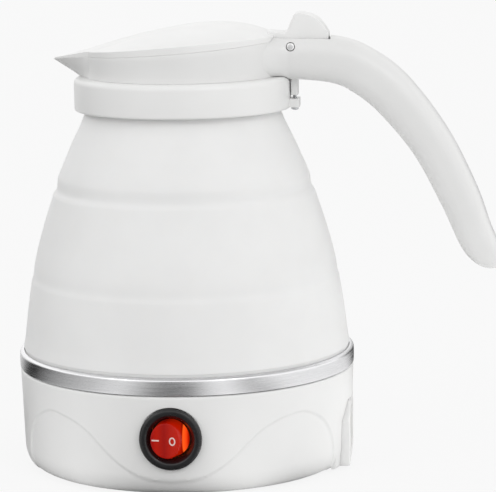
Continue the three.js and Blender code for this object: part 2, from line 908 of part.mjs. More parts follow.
// The pins' places in Y and Z: live, neutral and earth.
function inletPinPlaces() {
  const middle = (socketBottom + socketTop) / 2;
  return [
    [-inletPinSpacing, middle - inletEarthRise / 2],
    [inletPinSpacing, middle - inletEarthRise / 2],
    [0, middle + inletEarthRise],
  ];
}

function inletPins() {
  const names = ["inlet_pin_live", "inlet_pin_neutral", "inlet_pin_earth"];
  return inletPinPlaces().map(([y, z], i) => piece(names[i], block(
    [inletRear - inletPinTail, y - inletPinWidth / 2, z - inletPinHeight / 2],
    [socketFloorX + inletPinLength, y + inletPinWidth / 2, z + inletPinHeight / 2],
  ), brass));
}

// Wires, each soldered from one terminal to the next by way of one point between them.

function wire(name, places, material) {
  const route = places.map((place) => new THREE.Vector3(...place));
  return piece(name, sweptTube(route, wireRadius, wireSides, wireSteps), material);
}

function between(from, to, drop = 0) {
  return from.map((value, axis) => (value + to[axis]) / 2 - (axis === 2 ? drop : 0));
}

function wires() {
  const seat = touchGap + wireRadius;
  const tailX = inletRear - inletPinTail - seat;
  const [live, neutral, earthPin] = inletPinPlaces().map(([y, z]) => [tailX, y, z]);
  const coldHeight = elementHeight - elementEndDrop - seat;
  const [coldLeft, coldRight] = elementEnds().map(([x, y]) => [x, y, coldHeight]);
  const [terminalLeft, , terminalRight] = terminalPlaces().map((x) => [x, terminalRear + seat, switchHeight]);
  const fuseUnder = spreaderUnderside - touchGap - 2 * fuseRadius - seat;
  const fuseEnd = fuseLength / 2 - fuseRadius;
  const [fuseNear, fuseFar] = [[fuseX, fuseEnd, fuseUnder], [fuseX, -fuseEnd, fuseUnder]];
  const [studX, studY] = around(studCircleRadius - studRadius, studAngles[0]);
  const stud = [studX, studY, panUnderside - studLength - seat];
  const floorWay = [spreaderRadius / 2, terminalRear + 2 * seat, coverPadHeight + 2 * seat];
  const earth = [inletRear - inletPinTail / 2, earthPin[1], earthPin[2] + inletPinHeight / 2 + touchGap];
  const overSocket = [earth[0], earth[1], stud[2]];
  return [
    wire("wire_live", [live, floorWay, terminalRight], wireRed),
    wire("wire_switched", [terminalLeft, between(terminalLeft, coldLeft, 4 * wireRadius), coldLeft], wireRed),
    wire("wire_neutral", [neutral, between(neutral, fuseNear, wireRadius), fuseNear], wireBlue),
    wire("wire_fused", [fuseFar, between(fuseFar, coldRight, 4 * wireRadius), coldRight], wireBlue),
    wire("wire_earth", [earth, overSocket, stud], wireGreen),
  ];
}

// Silicone body

const bodyCurve = new THREE.SplineCurve(bodyOutlineShares.map((shares) => new THREE.Vector2(...shares)));

// The body's outer radius at a height.
function bodyRadius(height) {
  const up = (height - bodyBottom) / (bodyTop - bodyBottom);
  let [low, high] = [0, 1];
  for (let step = 0; step < 30; step++) {
    const middle = (low + high) / 2;
    if (bodyCurve.getPoint(middle).x < up) low = middle;
    else high = middle;
  }
  const groove = Math.max(foldDepthAt(height, lowerFoldHeight) / 2, foldDepthAt(height, upperFoldHeight));
  return bodyTopRadius + (bodyBottomRadius - bodyTopRadius) * bodyCurve.getPoint(low).y - groove;
}

function foldDepthAt(height, foldHeight) {
  return Math.abs(height - foldHeight) < foldHalfHeight ? foldGroove : 0;
}

function heightsBetween(from, to, count) {
  return Array.from({ length: count + 1 }, (_, i) => from + ((to - from) * i) / count);
}

// The wall's outer points upwards and its inner points downwards.
function bodyWall(heights) {
  const outer = heights.map((height) => [bodyRadius(height), height]);
  const inner = heights.map((height) => [bodyRadius(height) - siliconeWall, height]).reverse();
  return [outer, inner];
}

function lowerBand() {
  const wall = heightsBetween(bodyBottom, lowerFoldHeight - foldHalfHeight, 3);
  const [outer, inner] = bodyWall([...wall, lowerFoldHeight - touchGap / 2]);
  const seat = panShoulder + panWall + touchGap;
  const neck = bandLipRadius - touchGap;
  const bead = [
    [beadInnerRadius, seat],
    [beadOuterRadius, seat],
    [beadOuterRadius, seat + beadHeight / 2],
    [neck, seat + beadHeight],
  ];
  const shape = revolve([...bead, ...outer, ...inner, [beadInnerRadius, bodyBottom]]);
  return piece("silicone_lower_band", shape, clearSilicone);
}

function foldBand() {
  const wall = heightsBetween(lowerFoldHeight + foldHalfHeight, upperFoldHeight - foldHalfHeight, 3);
  const ends = [lowerFoldHeight + touchGap / 2, upperFoldHeight - touchGap / 2];
  const [outer, inner] = bodyWall([ends[0], ...wall, ends[1]]);
  return piece("silicone_fold_band", revolve([...outer, ...inner]), clearSilicone);
}

const neckBeadBottom = collarBottom + collarLip + touchGap;

function upperBand() {
  const wall = heightsBetween(upperFoldHeight + foldHalfHeight, bodyTop, 4);
  const [outer, inner] = bodyWall([upperFoldHeight + touchGap / 2, ...wall]);
  const neck = bodyTopRadius - siliconeWall;
  const bead = [
    [bodyTopRadius, neckBeadBottom],
    [neckBeadRadius, neckBeadBottom],
    [neckBeadRadius, neckBeadBottom + neckBeadHeight],
    [neck, neckBeadBottom + neckBeadHeight],
  ];
  return piece("silicone_upper_band", revolve([...outer, ...bead, ...inner]), clearSilicone);
}

function neckClampRing() {
  const inner = neckClampRadius - neckClampWall;
  const flange = neckBeadBottom + neckBeadHeight + touchGap;
  return piece("neck_clamp_ring", revolve([
    [inner, neckClampBottom],
    [neckClampRadius, neckClampBottom],
    [neckClampRadius, flange],
    [neckBeadRadius, flange],
    [neckBeadRadius, flange + neckClampFlange],
    [neckClampRadius, flange + neckClampFlange],
    [neckClampRadius, collarTop - collarPlate - touchGap],
    [inner, collarTop - collarPlate - touchGap],
  ]), whitePlastic);
}

// Top

function collar() {
  const innerWall = collarRadius - collarWall;
  const lipRadius = bodyTopRadius + touchGap;
  const shoulder = [collarRadius, collarTop - collarTopRound];
  let shape = revolve([
    [lipRadius, collarBottom],
    [collarRadius - collarFootRound, collarBottom],
    [collarRadius, collarBottom + collarFootRound],
    shoulder,
    ...quarterRound(shoulder, [collarRadius - collarTopRound, collarTop], 3, false),
    [collarRadius - collarTopRound, collarTop],
    [collarMouthRadius, collarTop],
    [collarMouthRadius, collarTop - collarPlate],
    [innerWall, collarTop - collarPlate],
    [innerWall, collarBottom + collarLip],
    [lipRadius, collarBottom + collarLip],
  ]);
  const lugBottom = collarBottom + collarFootRound / 2;
  const lug = block([innerWall, -lugHalfWidth, lugBottom], [lugReach, lugHalfWidth, lugTop]);
  const holeRadius = collarScrewRadius + pinGap;
  const hole = post(holeRadius, lugBottom - cutOverrun, lugTop + cutOverrun / 2, postMiddle(), 0);
  shape = shape.add(lug).subtract(hole);
  return piece("collar", shape, whitePlastic);
}

function postMiddle() {
  return (handlePostStart + handlePostReach) / 2;
}

// Height of the tilted rim plane.
function rimAt(x) {
  return rimHeight + x * Math.tan(radians(rimTilt));
}

// The pouring ring's outline at one height: a circle with a pointed beak towards -X.
function beakedPoint(degrees, radius, reach) {
  const fromBeak = Math.abs(degrees - 180);
  const isRound = reach * Math.cos(radians(beakHalfAngle)) <= radius;
  if (isRound || fromBeak >= beakHalfAngle) return around(radius, degrees);
  const [rootX, rootY] = around(radius, beakHalfAngle);
  const [cosine, sine] = around(1, fromBeak);
  return around((reach * rootY) / (cosine * rootY - sine * (rootX - reach)), degrees);
}

function beakedSection(radius, reach, heightAt) {
  return roundAngles().map((degrees) => {
    const [x, y] = beakedPoint(degrees, radius, reach);
    return new THREE.Vector3(x, y, heightAt(x));
  });
}

function roundAngles() {
  return Array.from({ length: roundSides }, (_, side) => (360 * side) / roundSides);
}

// The rim's height, which drops along the beak.
function beakedRim(x) {
  const past = Math.max(0, -ringRadius - x);
  return rimAt(x) - (beakTipDrop * past) / (beakReach - ringRadius);
}

function pouringRing() {
  const bottom = collarTop + touchGap;
  const webTop = bottom + ringWebThickness;
  const inner = ringRadius - ringWall;
  const skirtInner = skirtRadius - skirtWall;
  return loft([
    beakedSection(ringRadius, beakFootReach, () => bottom),
    beakedSection(ringRadius, beakReach, beakedRim),
    beakedSection(inner, beakReach - beakWall, beakedRim),
    beakedSection(inner, inner, () => webTop),
    beakedSection(skirtInner, skirtInner, () => webTop),
    beakedSection(skirtInner, skirtInner, () => skirtBottom),
    beakedSection(skirtRadius, skirtRadius, () => skirtBottom),
    beakedSection(skirtRadius, skirtRadius, () => bottom),
  ], true);
}

// The handle's middle line with its thickness and width, as curves over the handle's length.
const handleCurve = new THREE.CatmullRomCurve3(handleShares.map(([along, drop]) => {
  return new THREE.Vector3(handleRootX + handleLength * along, 0, handleRootHeight - handleDrop * drop);
}));
const handleSizeCurve = new THREE.SplineCurve(handleShares.map(([, , thick, wide]) => {
  return new THREE.Vector2(thick, wide);
}));

// A frame on the handle at a share of its length: middle, outward direction, half thickness and half width.
function handleFrameAt(share) {
  const middle = handleCurve.getPoint(share);
  const along = handleCurve.getTangent(share);
  const outward = new THREE.Vector3(-along.z, 0, along.x);
  const size = handleSizeCurve.getPoint(share);
  return { middle, along, outward, half: (handleThickness * size.x) / 2, wide: (handleWidth * size.y) / 2 };
}

function handlePoint(frame, out, across) {
  const point = frame.middle.clone().addScaledVector(frame.outward, out);
  point.y += across;
  return point;
}

function handleArm() {
  const sections = [];
  for (let step = 0; step <= handleSteps; step++) {
    const share = (step / handleSteps) ** handleStepShare;
    const frame = handleFrameAt(share);
    const left = handleCurve.getPoint(share).distanceTo(handleCurve.getPoint(1));
    const rounding = roundedEnd(left / handleEndRound);
    sections.push(circlePoints(handleSectionSides).map(([u, v]) => {
      const out = frame.half * rounding * squared(u);
      const across = frame.wide * rounding * squared(v);
      return handlePoint(frame, out, across);
    }));
  }
  return loft(sections);
}

// A circle's coordinate drawn out towards a square's, keeping its sign.
function squared(value) {
  return Math.sign(value) * Math.abs(value) ** (2 / handleSquareness);
}

// How full a section is at a share of the end's round: full at 1 and beyond, nearly closed at 0.
function roundedEnd(share) {
  const inside = Math.min(1, Math.max(handleTipShare, share));
  return Math.sqrt(1 - (1 - inside) ** 2);
}

// A strip that follows the handle's inner side between two shares of its length.
function handleStrip(fromShare, toShare, lowAt, highAt, halfWidth) {
  const sections = [];
  for (let step = 0; step <= handleStripSteps; step++) {
    const frame = handleFrameAt(fromShare + ((toShare - fromShare) * step) / handleStripSteps);
    const [low, high] = [lowAt(frame), highAt(frame)];
    sections.push([
      handlePoint(frame, low, -halfWidth),
      handlePoint(frame, low, halfWidth),
      handlePoint(frame, high, halfWidth),
      handlePoint(frame, high, -halfWidth),
    ]);
  }
  return loft(sections);
}

function handleHollow() {
  const deep = (frame) => frame.half * (2 * handleHollowDepthShare - 1);
  const open = (frame) => -frame.half - cutOverrun;
  return handleStrip(handleHollowStartShare, handleHollowEndShare, open, deep, handleHollowHalfWidth);
}

function handleCoverStrip() {
  const low = (frame) => -frame.half + handleCoverInset;
  const high = (frame) => -frame.half + handleCoverInset + handleCoverThickness;
  const ends = touchGap / handleCurve.getLength();
  return handleStrip(
    handleHollowStartShare + 2 * ends,
    handleHollowEndShare - 2 * ends,
    low,
    high,
    handleHollowHalfWidth - touchGap,
  );
}

// A cylinder along the handle's outward direction, from one reach to another, at a share of its length.
function gripPost(share, radius, from, to) {
  const frame = handleFrameAt(share);
  const shape = new THREE.CylinderGeometry(radius, radius, to - from, smallSides);
  shape.translate(0, (from + to) / 2, 0);
  const turn = new THREE.Quaternion().setFromUnitVectors(new THREE.Vector3(0, 1, 0), frame.outward);
  return solid(shape.applyQuaternion(turn).translate(...frame.middle.toArray()));
}

function gripCoverFace(share) {
  return -handleFrameAt(share).half + handleCoverInset;
}

function handleFrame() {
  const arm = handleArm();
  const postShape = block(
    [handlePostStart, -handlePostHalfWidth, handlePostBottom],
    [handlePostReach, handlePostHalfWidth, handleRootHeight - handleThickness / 4],
  );
  const middleOfWall = ringRadius - ringWall / 2;
  const innerBore = disc(middleOfWall, collarTop - cutOverrun, rimHeight + handleThickness);
  const collarSpace = disc(collarRadius + touchGap, collarTop - handleThickness, collarTop + touchGap);
  const forkTop = hingeHeight + handleThickness;
  const slot = block([forkStart, -forkHalfWidth, forkFloor], [forkEnd, forkHalfWidth, forkTop]);
  const overRim = block([middleOfWall, -forkHalfWidth, rimAt(ringRadius)], [forkEnd, forkHalfWidth, forkTop]);
  let frame = arm.subtract(join([innerBore, rimCut(), collarSpace, slot, overRim, handleHollow()]));
  for (const share of gripScrewShares) {
    const face = gripCoverFace(share);
    const bossTop = (2 / 3) * handleFrameAt(share).half;
    const holeTop = face + gripScrewHeadHeight + gripScrewLength + touchGap;
    frame = frame.add(gripPost(share, gripBossRadius, face + handleCoverThickness + touchGap, bossTop));
    frame = frame.subtract(gripPost(share, gripScrewRadius + pinGap, face - cutOverrun, holeTop));
  }
  const screwTop = collarScrewTop() + touchGap;
  const holeRadius = collarScrewRadius + pinGap;
  const screwHole = post(holeRadius, handlePostBottom - cutOverrun / 2, screwTop, postMiddle(), 0);
  frame = frame.add(postShape).add(pouringRing()).subtract(screwHole).subtract(hingeBore());
  return piece("handle_frame", frame, whitePlastic);
}

// Everything above the rim and inside the ring's outline, which the lid needs.
function rimCut() {
  const radius = ringRadius + lidInset;
  const section = (height) => beakedSection(radius, radius, (x) => rimAt(x) + height);
  return loft([section(0), section(handleThickness)]);
}

function hingeBore() {
  const radius = hingePinRadius + pinGap;
  const bore = new THREE.CylinderGeometry(radius, radius, 2 * handleWidth, smallSides);
  return solid(bore.translate(hingeX, 0, hingeHeight));
}

function hingePin() {
  const length = handleWidth - 2 * hingePinInset;
  const pin = new THREE.CylinderGeometry(hingePinRadius, hingePinRadius, length, smallSides);
  return piece("hinge_pin", solid(pin.translate(hingeX, 0, hingeHeight)), steel);
}

function handleCover() {
  let cover = handleCoverStrip();
  for (const share of gripScrewShares) {
    const face = gripCoverFace(share);
    const headSeat = face + gripScrewHeadHeight + touchGap;
    const through = face + handleCoverThickness + cutOverrun;
    cover = cover.subtract(gripPost(share, gripScrewHeadRadius + touchGap, face - cutOverrun, headSeat));
    cover = cover.subtract(gripPost(share, gripScrewRadius + pinGap, face - cutOverrun, through));
  }
  return piece("handle_cover", cover, whitePlastic);
}

function handleCoverScrews() {
  return gripScrewShares.map((share, i) => {
    const face = gripCoverFace(share);
    const headEnd = face + gripScrewHeadHeight;
    const head = gripPost(share, gripScrewHeadRadius, face, headEnd);
    const shaft = gripPost(share, gripScrewRadius, (face + headEnd) / 2, headEnd + gripScrewLength);
    return piece(`handle_cover_screw_${i + 1}`, head.add(shaft), steel);
  });
}

function collarScrewTop() {
  return handlePostBottom + handlePostHalfWidth;
}

function collarScrew() {
  const headTop = collarBottom + collarFootRound / 2 - touchGap;
  const bottom = headTop - collarScrewHeadHeight;
  const size = [collarScrewHeadRadius, collarScrewHeadHeight, collarScrewRadius, collarScrewTop() - headTop];
  return piece("collar_screw", screwUp(...size, bottom, postMiddle(), 0), steel);
}

// Lid

// Turns a shape drawn on a level rim into the tilted rim plane.
function onRim(shape) {
  const tilted = shape.rotate([0, -rimTilt, 0]);
  return tilted.translate([0, 0, rimHeight]);
}

// The lid's outline drawn in to a share of its size about the dome's crown, lifted over the rim.
function lidSection(share, lift) {
  return roundAngles().map((degrees) => {
    const [x, y] = beakedPoint(degrees, ringRadius - lidInset, lidBeakReach);
    const inwards = lidDomeForward + (x - lidDomeForward) * share;
    return new THREE.Vector3(inwards, y * share, beakedRim(inwards) + lift);
  });
}

// How high the lid's top stands over the rim at a share of the way out.
function lidTopLift(share) {
  return touchGap + lidEdge + (lidDomeHeight - lidEdge) * (1 - share ** lidDomePowerShare);
}

function lidShell() {
  const innerShares = lidRingShares.slice(1);
  const outer = lidRingShares.map((share) => lidSection(share, lidTopLift(share)));
  const inner = innerShares.map((share) => lidSection(share, lidTopLift(share) - lidWall));
  const edges = [lidSection(1, touchGap), lidSection(lidInnerEdgeShare, touchGap)];
  return loft([...outer.reverse(), ...edges, ...inner]);
}

function lidTail() {
  const outline = tailOutlineShares.map(([x, z]) => [hingeX + x * tabHeight, hingeHeight + z * tabHeight]);
  const drawn = plate(outline, 2 * tailHalfWidth).rotateX(Math.PI / 2);
  return solid(drawn);
}

function lidCover() {
  const shell = lidShell();
  const under = touchGap + lidEdge + lidDomeHeight / 2;
  const skirtInner = lidSkirtRadius - lidSkirtWall;
  const skirt = onRim(ring(skirtInner, lidSkirtRadius, -lidSkirtBottom, touchGap + lidEdge));
  const bosses = lidBossAngles.map((angle) => {
    return onRim(post(lidBossRadius, -lidPlateTop + touchGap, under, ...around(lidBossCircleRadius, angle)));
  });
  let cover = join([shell, skirt, ...bosses, lidTail()]);
  for (const angle of lidBossAngles) {
    const at = around(lidBossCircleRadius, angle);
    const hole = post(lidScrewRadius + pinGap, -lidPlateTop - cutOverrun, lidScrewTop() + touchGap, ...at);
    cover = cover.subtract(onRim(hole));
  }
  return piece("lid_cover", cover.subtract(hingeBore()), whitePlastic);
}

function lidScrewTop() {
  return -lidPlateTop - lidPlateThickness + lidScrewHeadHeight / 2 + lidScrewLength;
}

function lidInnerPlate() {
  let shape = revolve([
    [0, -lidPlateTop - lidPlateThickness],
    [lidPlateRadius, -lidPlateTop - lidPlateThickness],
    [lidPlateRadius, -lidPlateTop],
    [0, -lidPlateTop],
  ]);
  for (const angle of lidBossAngles) {
    const at = around(lidBossCircleRadius, angle);
    shape = shape.subtract(post(lidScrewRadius + touchGap, -lidPlateTop - cutOverrun, 0, ...at));
  }
  return piece("lid_inner_plate", onRim(shape), whitePlastic);
}

function lidSeal() {
  const bottom = -lidPlateTop + touchGap;
  const shape = ring(lidSealRadius - lidSealWall, lidSealRadius, bottom, bottom + lidSealHeight);
  return piece("lid_seal", onRim(shape), clearSilicone);
}

function lidScrews() {
  const headTop = -lidPlateTop - lidPlateThickness - touchGap;
  return lidBossAngles.map((angle, i) => {
    const at = around(lidBossCircleRadius, angle);
    const size = [lidScrewHeadRadius, lidScrewHeadHeight, lidScrewRadius, lidScrewLength];
    const screw = screwUp(...size, headTop - lidScrewHeadHeight, ...at);
    return piece(`lid_screw_${i + 1}`, onRim(screw), steel);
  });
}

function group(...meshes) {
  const holder = new THREE.Group();
  holder.add(...meshes);
  return holder;
}

const base = group(
  baseShell(),
  bottomCover(),
  ...feet(),
  ...coverScrews(),
  steelPan(),
  ...panNuts(),
  bodyClampRing(),
  heatSpreader(),
  heatingElement(),
  thermostat(),
  thermalFuse(),
  inletSocket(),
  ...inletPins(),
  ...wires(),
  lowerBand(),
  foldBand(),
);
const rockerSwitch = group(switchBody(), switchRocker(), switchLamp(), ...switchTerminals());
const top = group(
  upperBand(),
  neckClampRing(),
  collar(),
  handleFrame(),
  handleCover(),
  ...handleCoverScrews(),
  collarScrew(),
  hingePin(),
);
const lid = group(lidCover(), lidInnerPlate(), lidSeal(), ...lidScrews());

export default group(base, rockerSwitch, top, lid);
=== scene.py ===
import math

import bmesh
import bpy
import numpy as np
from mathutils import Matrix, Vector


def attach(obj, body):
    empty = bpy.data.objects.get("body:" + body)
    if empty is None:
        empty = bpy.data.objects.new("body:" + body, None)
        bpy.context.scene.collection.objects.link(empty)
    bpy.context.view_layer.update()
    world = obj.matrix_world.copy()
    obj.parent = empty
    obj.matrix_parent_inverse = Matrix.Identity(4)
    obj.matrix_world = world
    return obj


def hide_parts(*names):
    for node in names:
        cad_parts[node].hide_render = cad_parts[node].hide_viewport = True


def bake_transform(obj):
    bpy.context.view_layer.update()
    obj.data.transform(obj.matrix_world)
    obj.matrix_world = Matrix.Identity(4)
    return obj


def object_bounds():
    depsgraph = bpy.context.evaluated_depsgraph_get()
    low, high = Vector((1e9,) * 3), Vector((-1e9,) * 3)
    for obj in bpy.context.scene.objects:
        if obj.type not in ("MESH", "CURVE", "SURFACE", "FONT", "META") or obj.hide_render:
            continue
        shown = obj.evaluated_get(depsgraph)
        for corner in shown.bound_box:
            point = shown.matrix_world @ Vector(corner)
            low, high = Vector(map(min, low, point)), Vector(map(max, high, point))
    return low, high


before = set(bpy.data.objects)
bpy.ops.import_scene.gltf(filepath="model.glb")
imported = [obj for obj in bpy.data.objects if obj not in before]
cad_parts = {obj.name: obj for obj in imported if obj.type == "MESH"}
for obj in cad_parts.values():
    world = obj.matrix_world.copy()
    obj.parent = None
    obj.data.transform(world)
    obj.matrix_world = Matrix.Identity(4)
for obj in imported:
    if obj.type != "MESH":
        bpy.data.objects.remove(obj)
cad_low, cad_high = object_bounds()

# Studio: a plain pale floor, a soft sky and two soft lamps. Low down, the sky and the floor have darker
# and brighter stretches, which the steel band mirrors. The camera stands a little right of the switch,
# looks slightly down past the kettle's axis, and is turned a little, as the picture is.
mm = 0.001
picture_width = 496
focal_pixels = 2471
sensor_width = 36
camera_azimuth = math.radians(6)
camera_pitch = math.radians(9.35)
camera_roll = math.radians(0.8)
camera_distance = 983 * mm
aim_height = 84.4 * mm
aim_aside = 24.9 * mm
floor_size = 12
floor_gap = 0.2 * mm
pale_floor = (0.945, 0.945, 0.945, 1)
floor_glow = 0.93
floor_turns = [
    (0.0, 0.85), (0.1, 0.8), (0.125, 0.5), (0.15, 0.02), (0.19, 0.02), (0.22, 0.2), (0.24, 0.32),
    (0.276, 0.45), (0.334, 0.62), (0.387, 0.88), (0.42, 0.6), (0.446, 0.28), (0.475, 0.2), (0.504, 0.3),
    (0.53, 0.78), (0.561, 1.05), (0.6, 0.58), (0.621, 0.56), (0.66, 0.95), (0.686, 1.0), (0.761, 1.0),
    (0.843, 0.95), (0.87, 0.5), (0.89, 0.05), (0.93, 0.05), (0.955, 0.5), (1.0, 0.85),
]
# Painted shadow under the kettle and a painted brighter ring round it, in the floor that the kettle sees.
floor_shade = [(0.0, 0.8), (0.27, 0.8), (0.34, 1.2), (0.55, 1.2), (0.8, 1.0), (1.0, 1.0)]
floor_shade_reach = 240 * mm
sky_glow = 1.36
sky_low = math.radians(4)
sky_high = math.radians(28)
sky_turns_high = [(0.0, 1.2), (0.15, 1.4), (0.35, 1.45), (0.5, 1.38), (0.65, 1.3), (0.85, 1.2), (1.0, 1.15)]
sky_top = (math.radians(32), 0.42)
ramp_span = 2
lamp_places_widths_and_powers = {
    "lamp_right": ((0.55, -0.75, 0.75), 0.25, 0.9), "lamp_left": ((-0.6, -0.6, 0.6), 0.2, 0.35),
}


def feed(node, *values, **named):
    """Gives a node's inputs, in their order or by name, a value or what another node puts out."""
    sockets = [*zip(node.inputs, values)]
    sockets += [(node.inputs[name.replace("_", " ")], value) for name, value in named.items()]
    for socket, value in sockets:
        source = value.outputs[0] if isinstance(value, bpy.types.Node) else value
        if isinstance(source, bpy.types.NodeSocket):
            node.id_data.links.new(source, socket)
        else:
            socket.default_value = source
    return node


def node_in(tree, kind, *values, **settings):
    """A new node; a setting whose name starts with a capital is an input."""
    node = tree.nodes.new(kind)
    for name, value in settings.items():
        if name[0].islower():
            setattr(node, name, value)
    return feed(node, *values, **{name: value for name, value in settings.items() if name[0].isupper()})


def ramp_in(tree, stops, place):
    """A ramp of greys or colours, from [place, value] stops, read at a place."""
    ramp = node_in(tree, "ShaderNodeValToRGB", place)
    marks = ramp.color_ramp.elements
    while len(marks) < len(stops):
        marks.new(1)
    for mark, (position, value) in zip(marks, stops):
        mark.position = position
        mark.color = (value, value, value, 1) if isinstance(value, (int, float)) else (*value, 1)
    return ramp


def turn_share(tree, vector):
    """The share of a turn round Z, from behind the kettle by way of its left side, and the height."""
    turned_way = node_in(
        tree, "ShaderNodeVectorRotate", rotation_type="Z_AXIS", Vector=vector, Angle=-camera_azimuth,
    )
    x, y, z = node_in(tree, "ShaderNodeSeparateXYZ", turned_way).outputs
    back = node_in(tree, "ShaderNodeMath", y, -1, operation="MULTIPLY")
    angle = node_in(tree, "ShaderNodeMath", x, back, operation="ARCTAN2")
    return node_in(tree, "ShaderNodeMapRange", angle, From_Min=-math.pi, From_Max=math.pi), z


def light_the_sky():
    """The ramps hold values up to 1, so they are filled with a share of the light and scaled up again."""
    world = bpy.data.worlds.new("studio_sky")
    bpy.context.scene.world = world
    world.use_nodes = True
    tree = world.node_tree
    share, height = turn_share(tree, node_in(tree, "ShaderNodeTexCoord").outputs["Generated"])
    low = ramp_in(tree, [(at, sky_glow * value / ramp_span) for at, value in floor_turns], share)
    high = ramp_in(tree, [(at, value / ramp_span) for at, value in sky_turns_high], share)
    height_share = node_in(
        tree, "ShaderNodeMapRange", height, interpolation_type="SMOOTHSTEP",
        From_Min=math.sin(sky_low), From_Max=math.sin(sky_high),
    )
    mixed = node_in(tree, "ShaderNodeMix", height_share, data_type="RGBA")
    below, above = [socket for socket in mixed.inputs if socket.type == "RGBA"]
    tree.links.new(low.outputs["Color"], below)
    tree.links.new(high.outputs["Color"], above)
    strength = node_in(
        tree, "ShaderNodeMapRange", height, From_Min=math.sin(sky_top[0]), From_Max=1,
        To_Min=ramp_span, To_Max=ramp_span * sky_top[1],
    )
    [color] = [socket for socket in mixed.outputs if socket.type == "RGBA"]
    light = node_in(tree, "ShaderNodeVectorMath", color, operation="SCALE", Scale=strength)
    feed(tree.nodes["Background"], Color=light)


def lay_the_floor():
    """The camera sees an even floor; the kettle is lit by one with darker and brighter stretches, a painted
    shadow near it and a painted brighter ring beyond.
    """
    bpy.ops.mesh.primitive_plane_add(size=floor_size, location=(0, 0, cad_low.z - floor_gap))
    floor = bpy.context.object
    floor.name = "studio_floor"
    material = bpy.data.materials.new("studio_floor")
    material.use_nodes = True
    tree = material.node_tree
    tree.nodes.clear()
    paint = node_in(tree, "ShaderNodeBsdfDiffuse", pale_floor)
    glow = node_in(tree, "ShaderNodeEmission", pale_floor)
    seen = node_in(tree, "ShaderNodeMixShader", floor_glow, paint, glow)
    place = node_in(tree, "ShaderNodeTexCoord").outputs["Object"]
    greys = ramp_in(tree, floor_turns, turn_share(tree, place)[0])
    reach = node_in(tree, "ShaderNodeVectorMath", place, operation="LENGTH").outputs["Value"]
    reach_share = node_in(tree, "ShaderNodeMapRange", reach, From_Max=floor_shade_reach)
    under = ramp_in(tree, floor_shade, reach_share)
    shaded = node_in(tree, "ShaderNodeVectorMath", greys, under, operation="MULTIPLY")
    bounced = node_in(tree, "ShaderNodeBsdfDiffuse", shaded)
    by_camera = node_in(tree, "ShaderNodeLightPath").outputs["Is Camera Ray"]
    mixed = node_in(tree, "ShaderNodeMixShader", by_camera, bounced, seen)
    node_in(tree, "ShaderNodeOutputMaterial", mixed)
    floor.data.materials.append(material)


def hang_lamp(name, place, width, power):
    """A square soft lamp that faces the kettle."""
    lamp = bpy.data.lights.new(name, "AREA")
    lamp.shape, lamp.size, lamp.size_y, lamp.energy = "RECTANGLE", width, width, power
    holder = bpy.data.objects.new(name, lamp)
    bpy.context.scene.collection.objects.link(holder)
    holder.location = place
    holder.rotation_euler = (Vector((0, 0, aim_height)) - Vector(place)).to_track_quat("-Z", "Y").to_euler()


def set_the_camera():
    side = Vector((math.cos(camera_azimuth), math.sin(camera_azimuth), 0))
    level = Vector((math.sin(camera_azimuth), -math.cos(camera_azimuth), 0))
    away = level * math.cos(camera_pitch) + Vector((0, 0, math.sin(camera_pitch)))
    middle = Vector((0, 0, aim_height))
    lens = bpy.data.cameras.new("camera")
    lens.sensor_width, lens.lens = sensor_width, focal_pixels / picture_width * sensor_width
    lens.clip_start, lens.clip_end = 10 * mm, 2 * floor_size
    camera = bpy.data.objects.new("camera", lens)
    bpy.context.scene.collection.objects.link(camera)
    camera.location = middle + away * camera_distance
    look = (middle + side * aim_aside - camera.location).to_track_quat("-Z", "Y")
    camera.rotation_mode = "QUATERNION"
    camera.rotation_quaternion = look @ Matrix.Rotation(-camera_roll, 4, "Z").to_quaternion()
    bpy.context.scene.camera = camera


light_the_sky()
lay_the_floor()
for lamp_name, place_width_and_power in lamp_places_widths_and_powers.items():
    hang_lamp(lamp_name, *place_width_and_power)
set_the_camera()
bpy.context.scene.view_settings.view_transform = "Standard"

# Base housing: one moulding in white polypropylene, turned in below into a foot, with a deck under its
# open top for the dish. A wave runs round its front and its back, and the wall below the wave lies a
# little deeper. Three bosses under the deck take the cover's screws. At the rear, two cheeks flank the
# notch for the mains inlet.
band_radius = 66.7
base_height = 38.4
base_top_radius = band_radius - 0.3
base_side_radius = base_top_radius - 1.0
base_foot_radius = base_side_radius - 4.4
foot_round = 8.5
lip_round = 0.9
base_wall = 2.8
recess_radius = base_top_radius - base_wall
deck_top = base_height - 3.4
deck_under = deck_top - 2.0
deck_opening = recess_radius - 17.6
boss_circle = recess_radius - 11.6
stud_circle = recess_radius - 9.6
cover_thickness = 2.4
cover_rim = 1.1
boss_angles = (60, 180, 300)
boss_radius = 4
boss_bottom = 4.9
boss_bore_radius = 1.65
boss_bore_top = 16.5
stud_angles = (0, 120, 240)
stud_radius = 1.7
gap = 0.3
overrun = 5
side_rows = 72
foot_rows = 16
housing_columns = 800
wave_angles_and_heights = [
    (0, 5.2), (5, 5.5), (9, 6.3), (12.5, 7.8), (17.5, 11), (22, 15), (26, 19), (30, 22.8),
    (35, 25.8), (41, 27.6), (48, 28.1), (56, 24.5), (61, 19.8), (64.6, 13.4), (66, 5), (66.2, -2),
]
wave_depth = 0.5
wave_width = 0.9
switch_height = 22.2
bezel_radius = 11.9
bezel_back = base_top_radius - 1.2 + gap
switch_body_radius = 9.7
inlet_face = base_top_radius - 0.8
inlet_half_width = 20
inlet_top = 25.3
inlet_chamfer = 7
flange_front = 57.8
cheek_outside = 24.6
cheek_inset = 0.25
cheek_top = foot_round + 2
notch_depth = 14


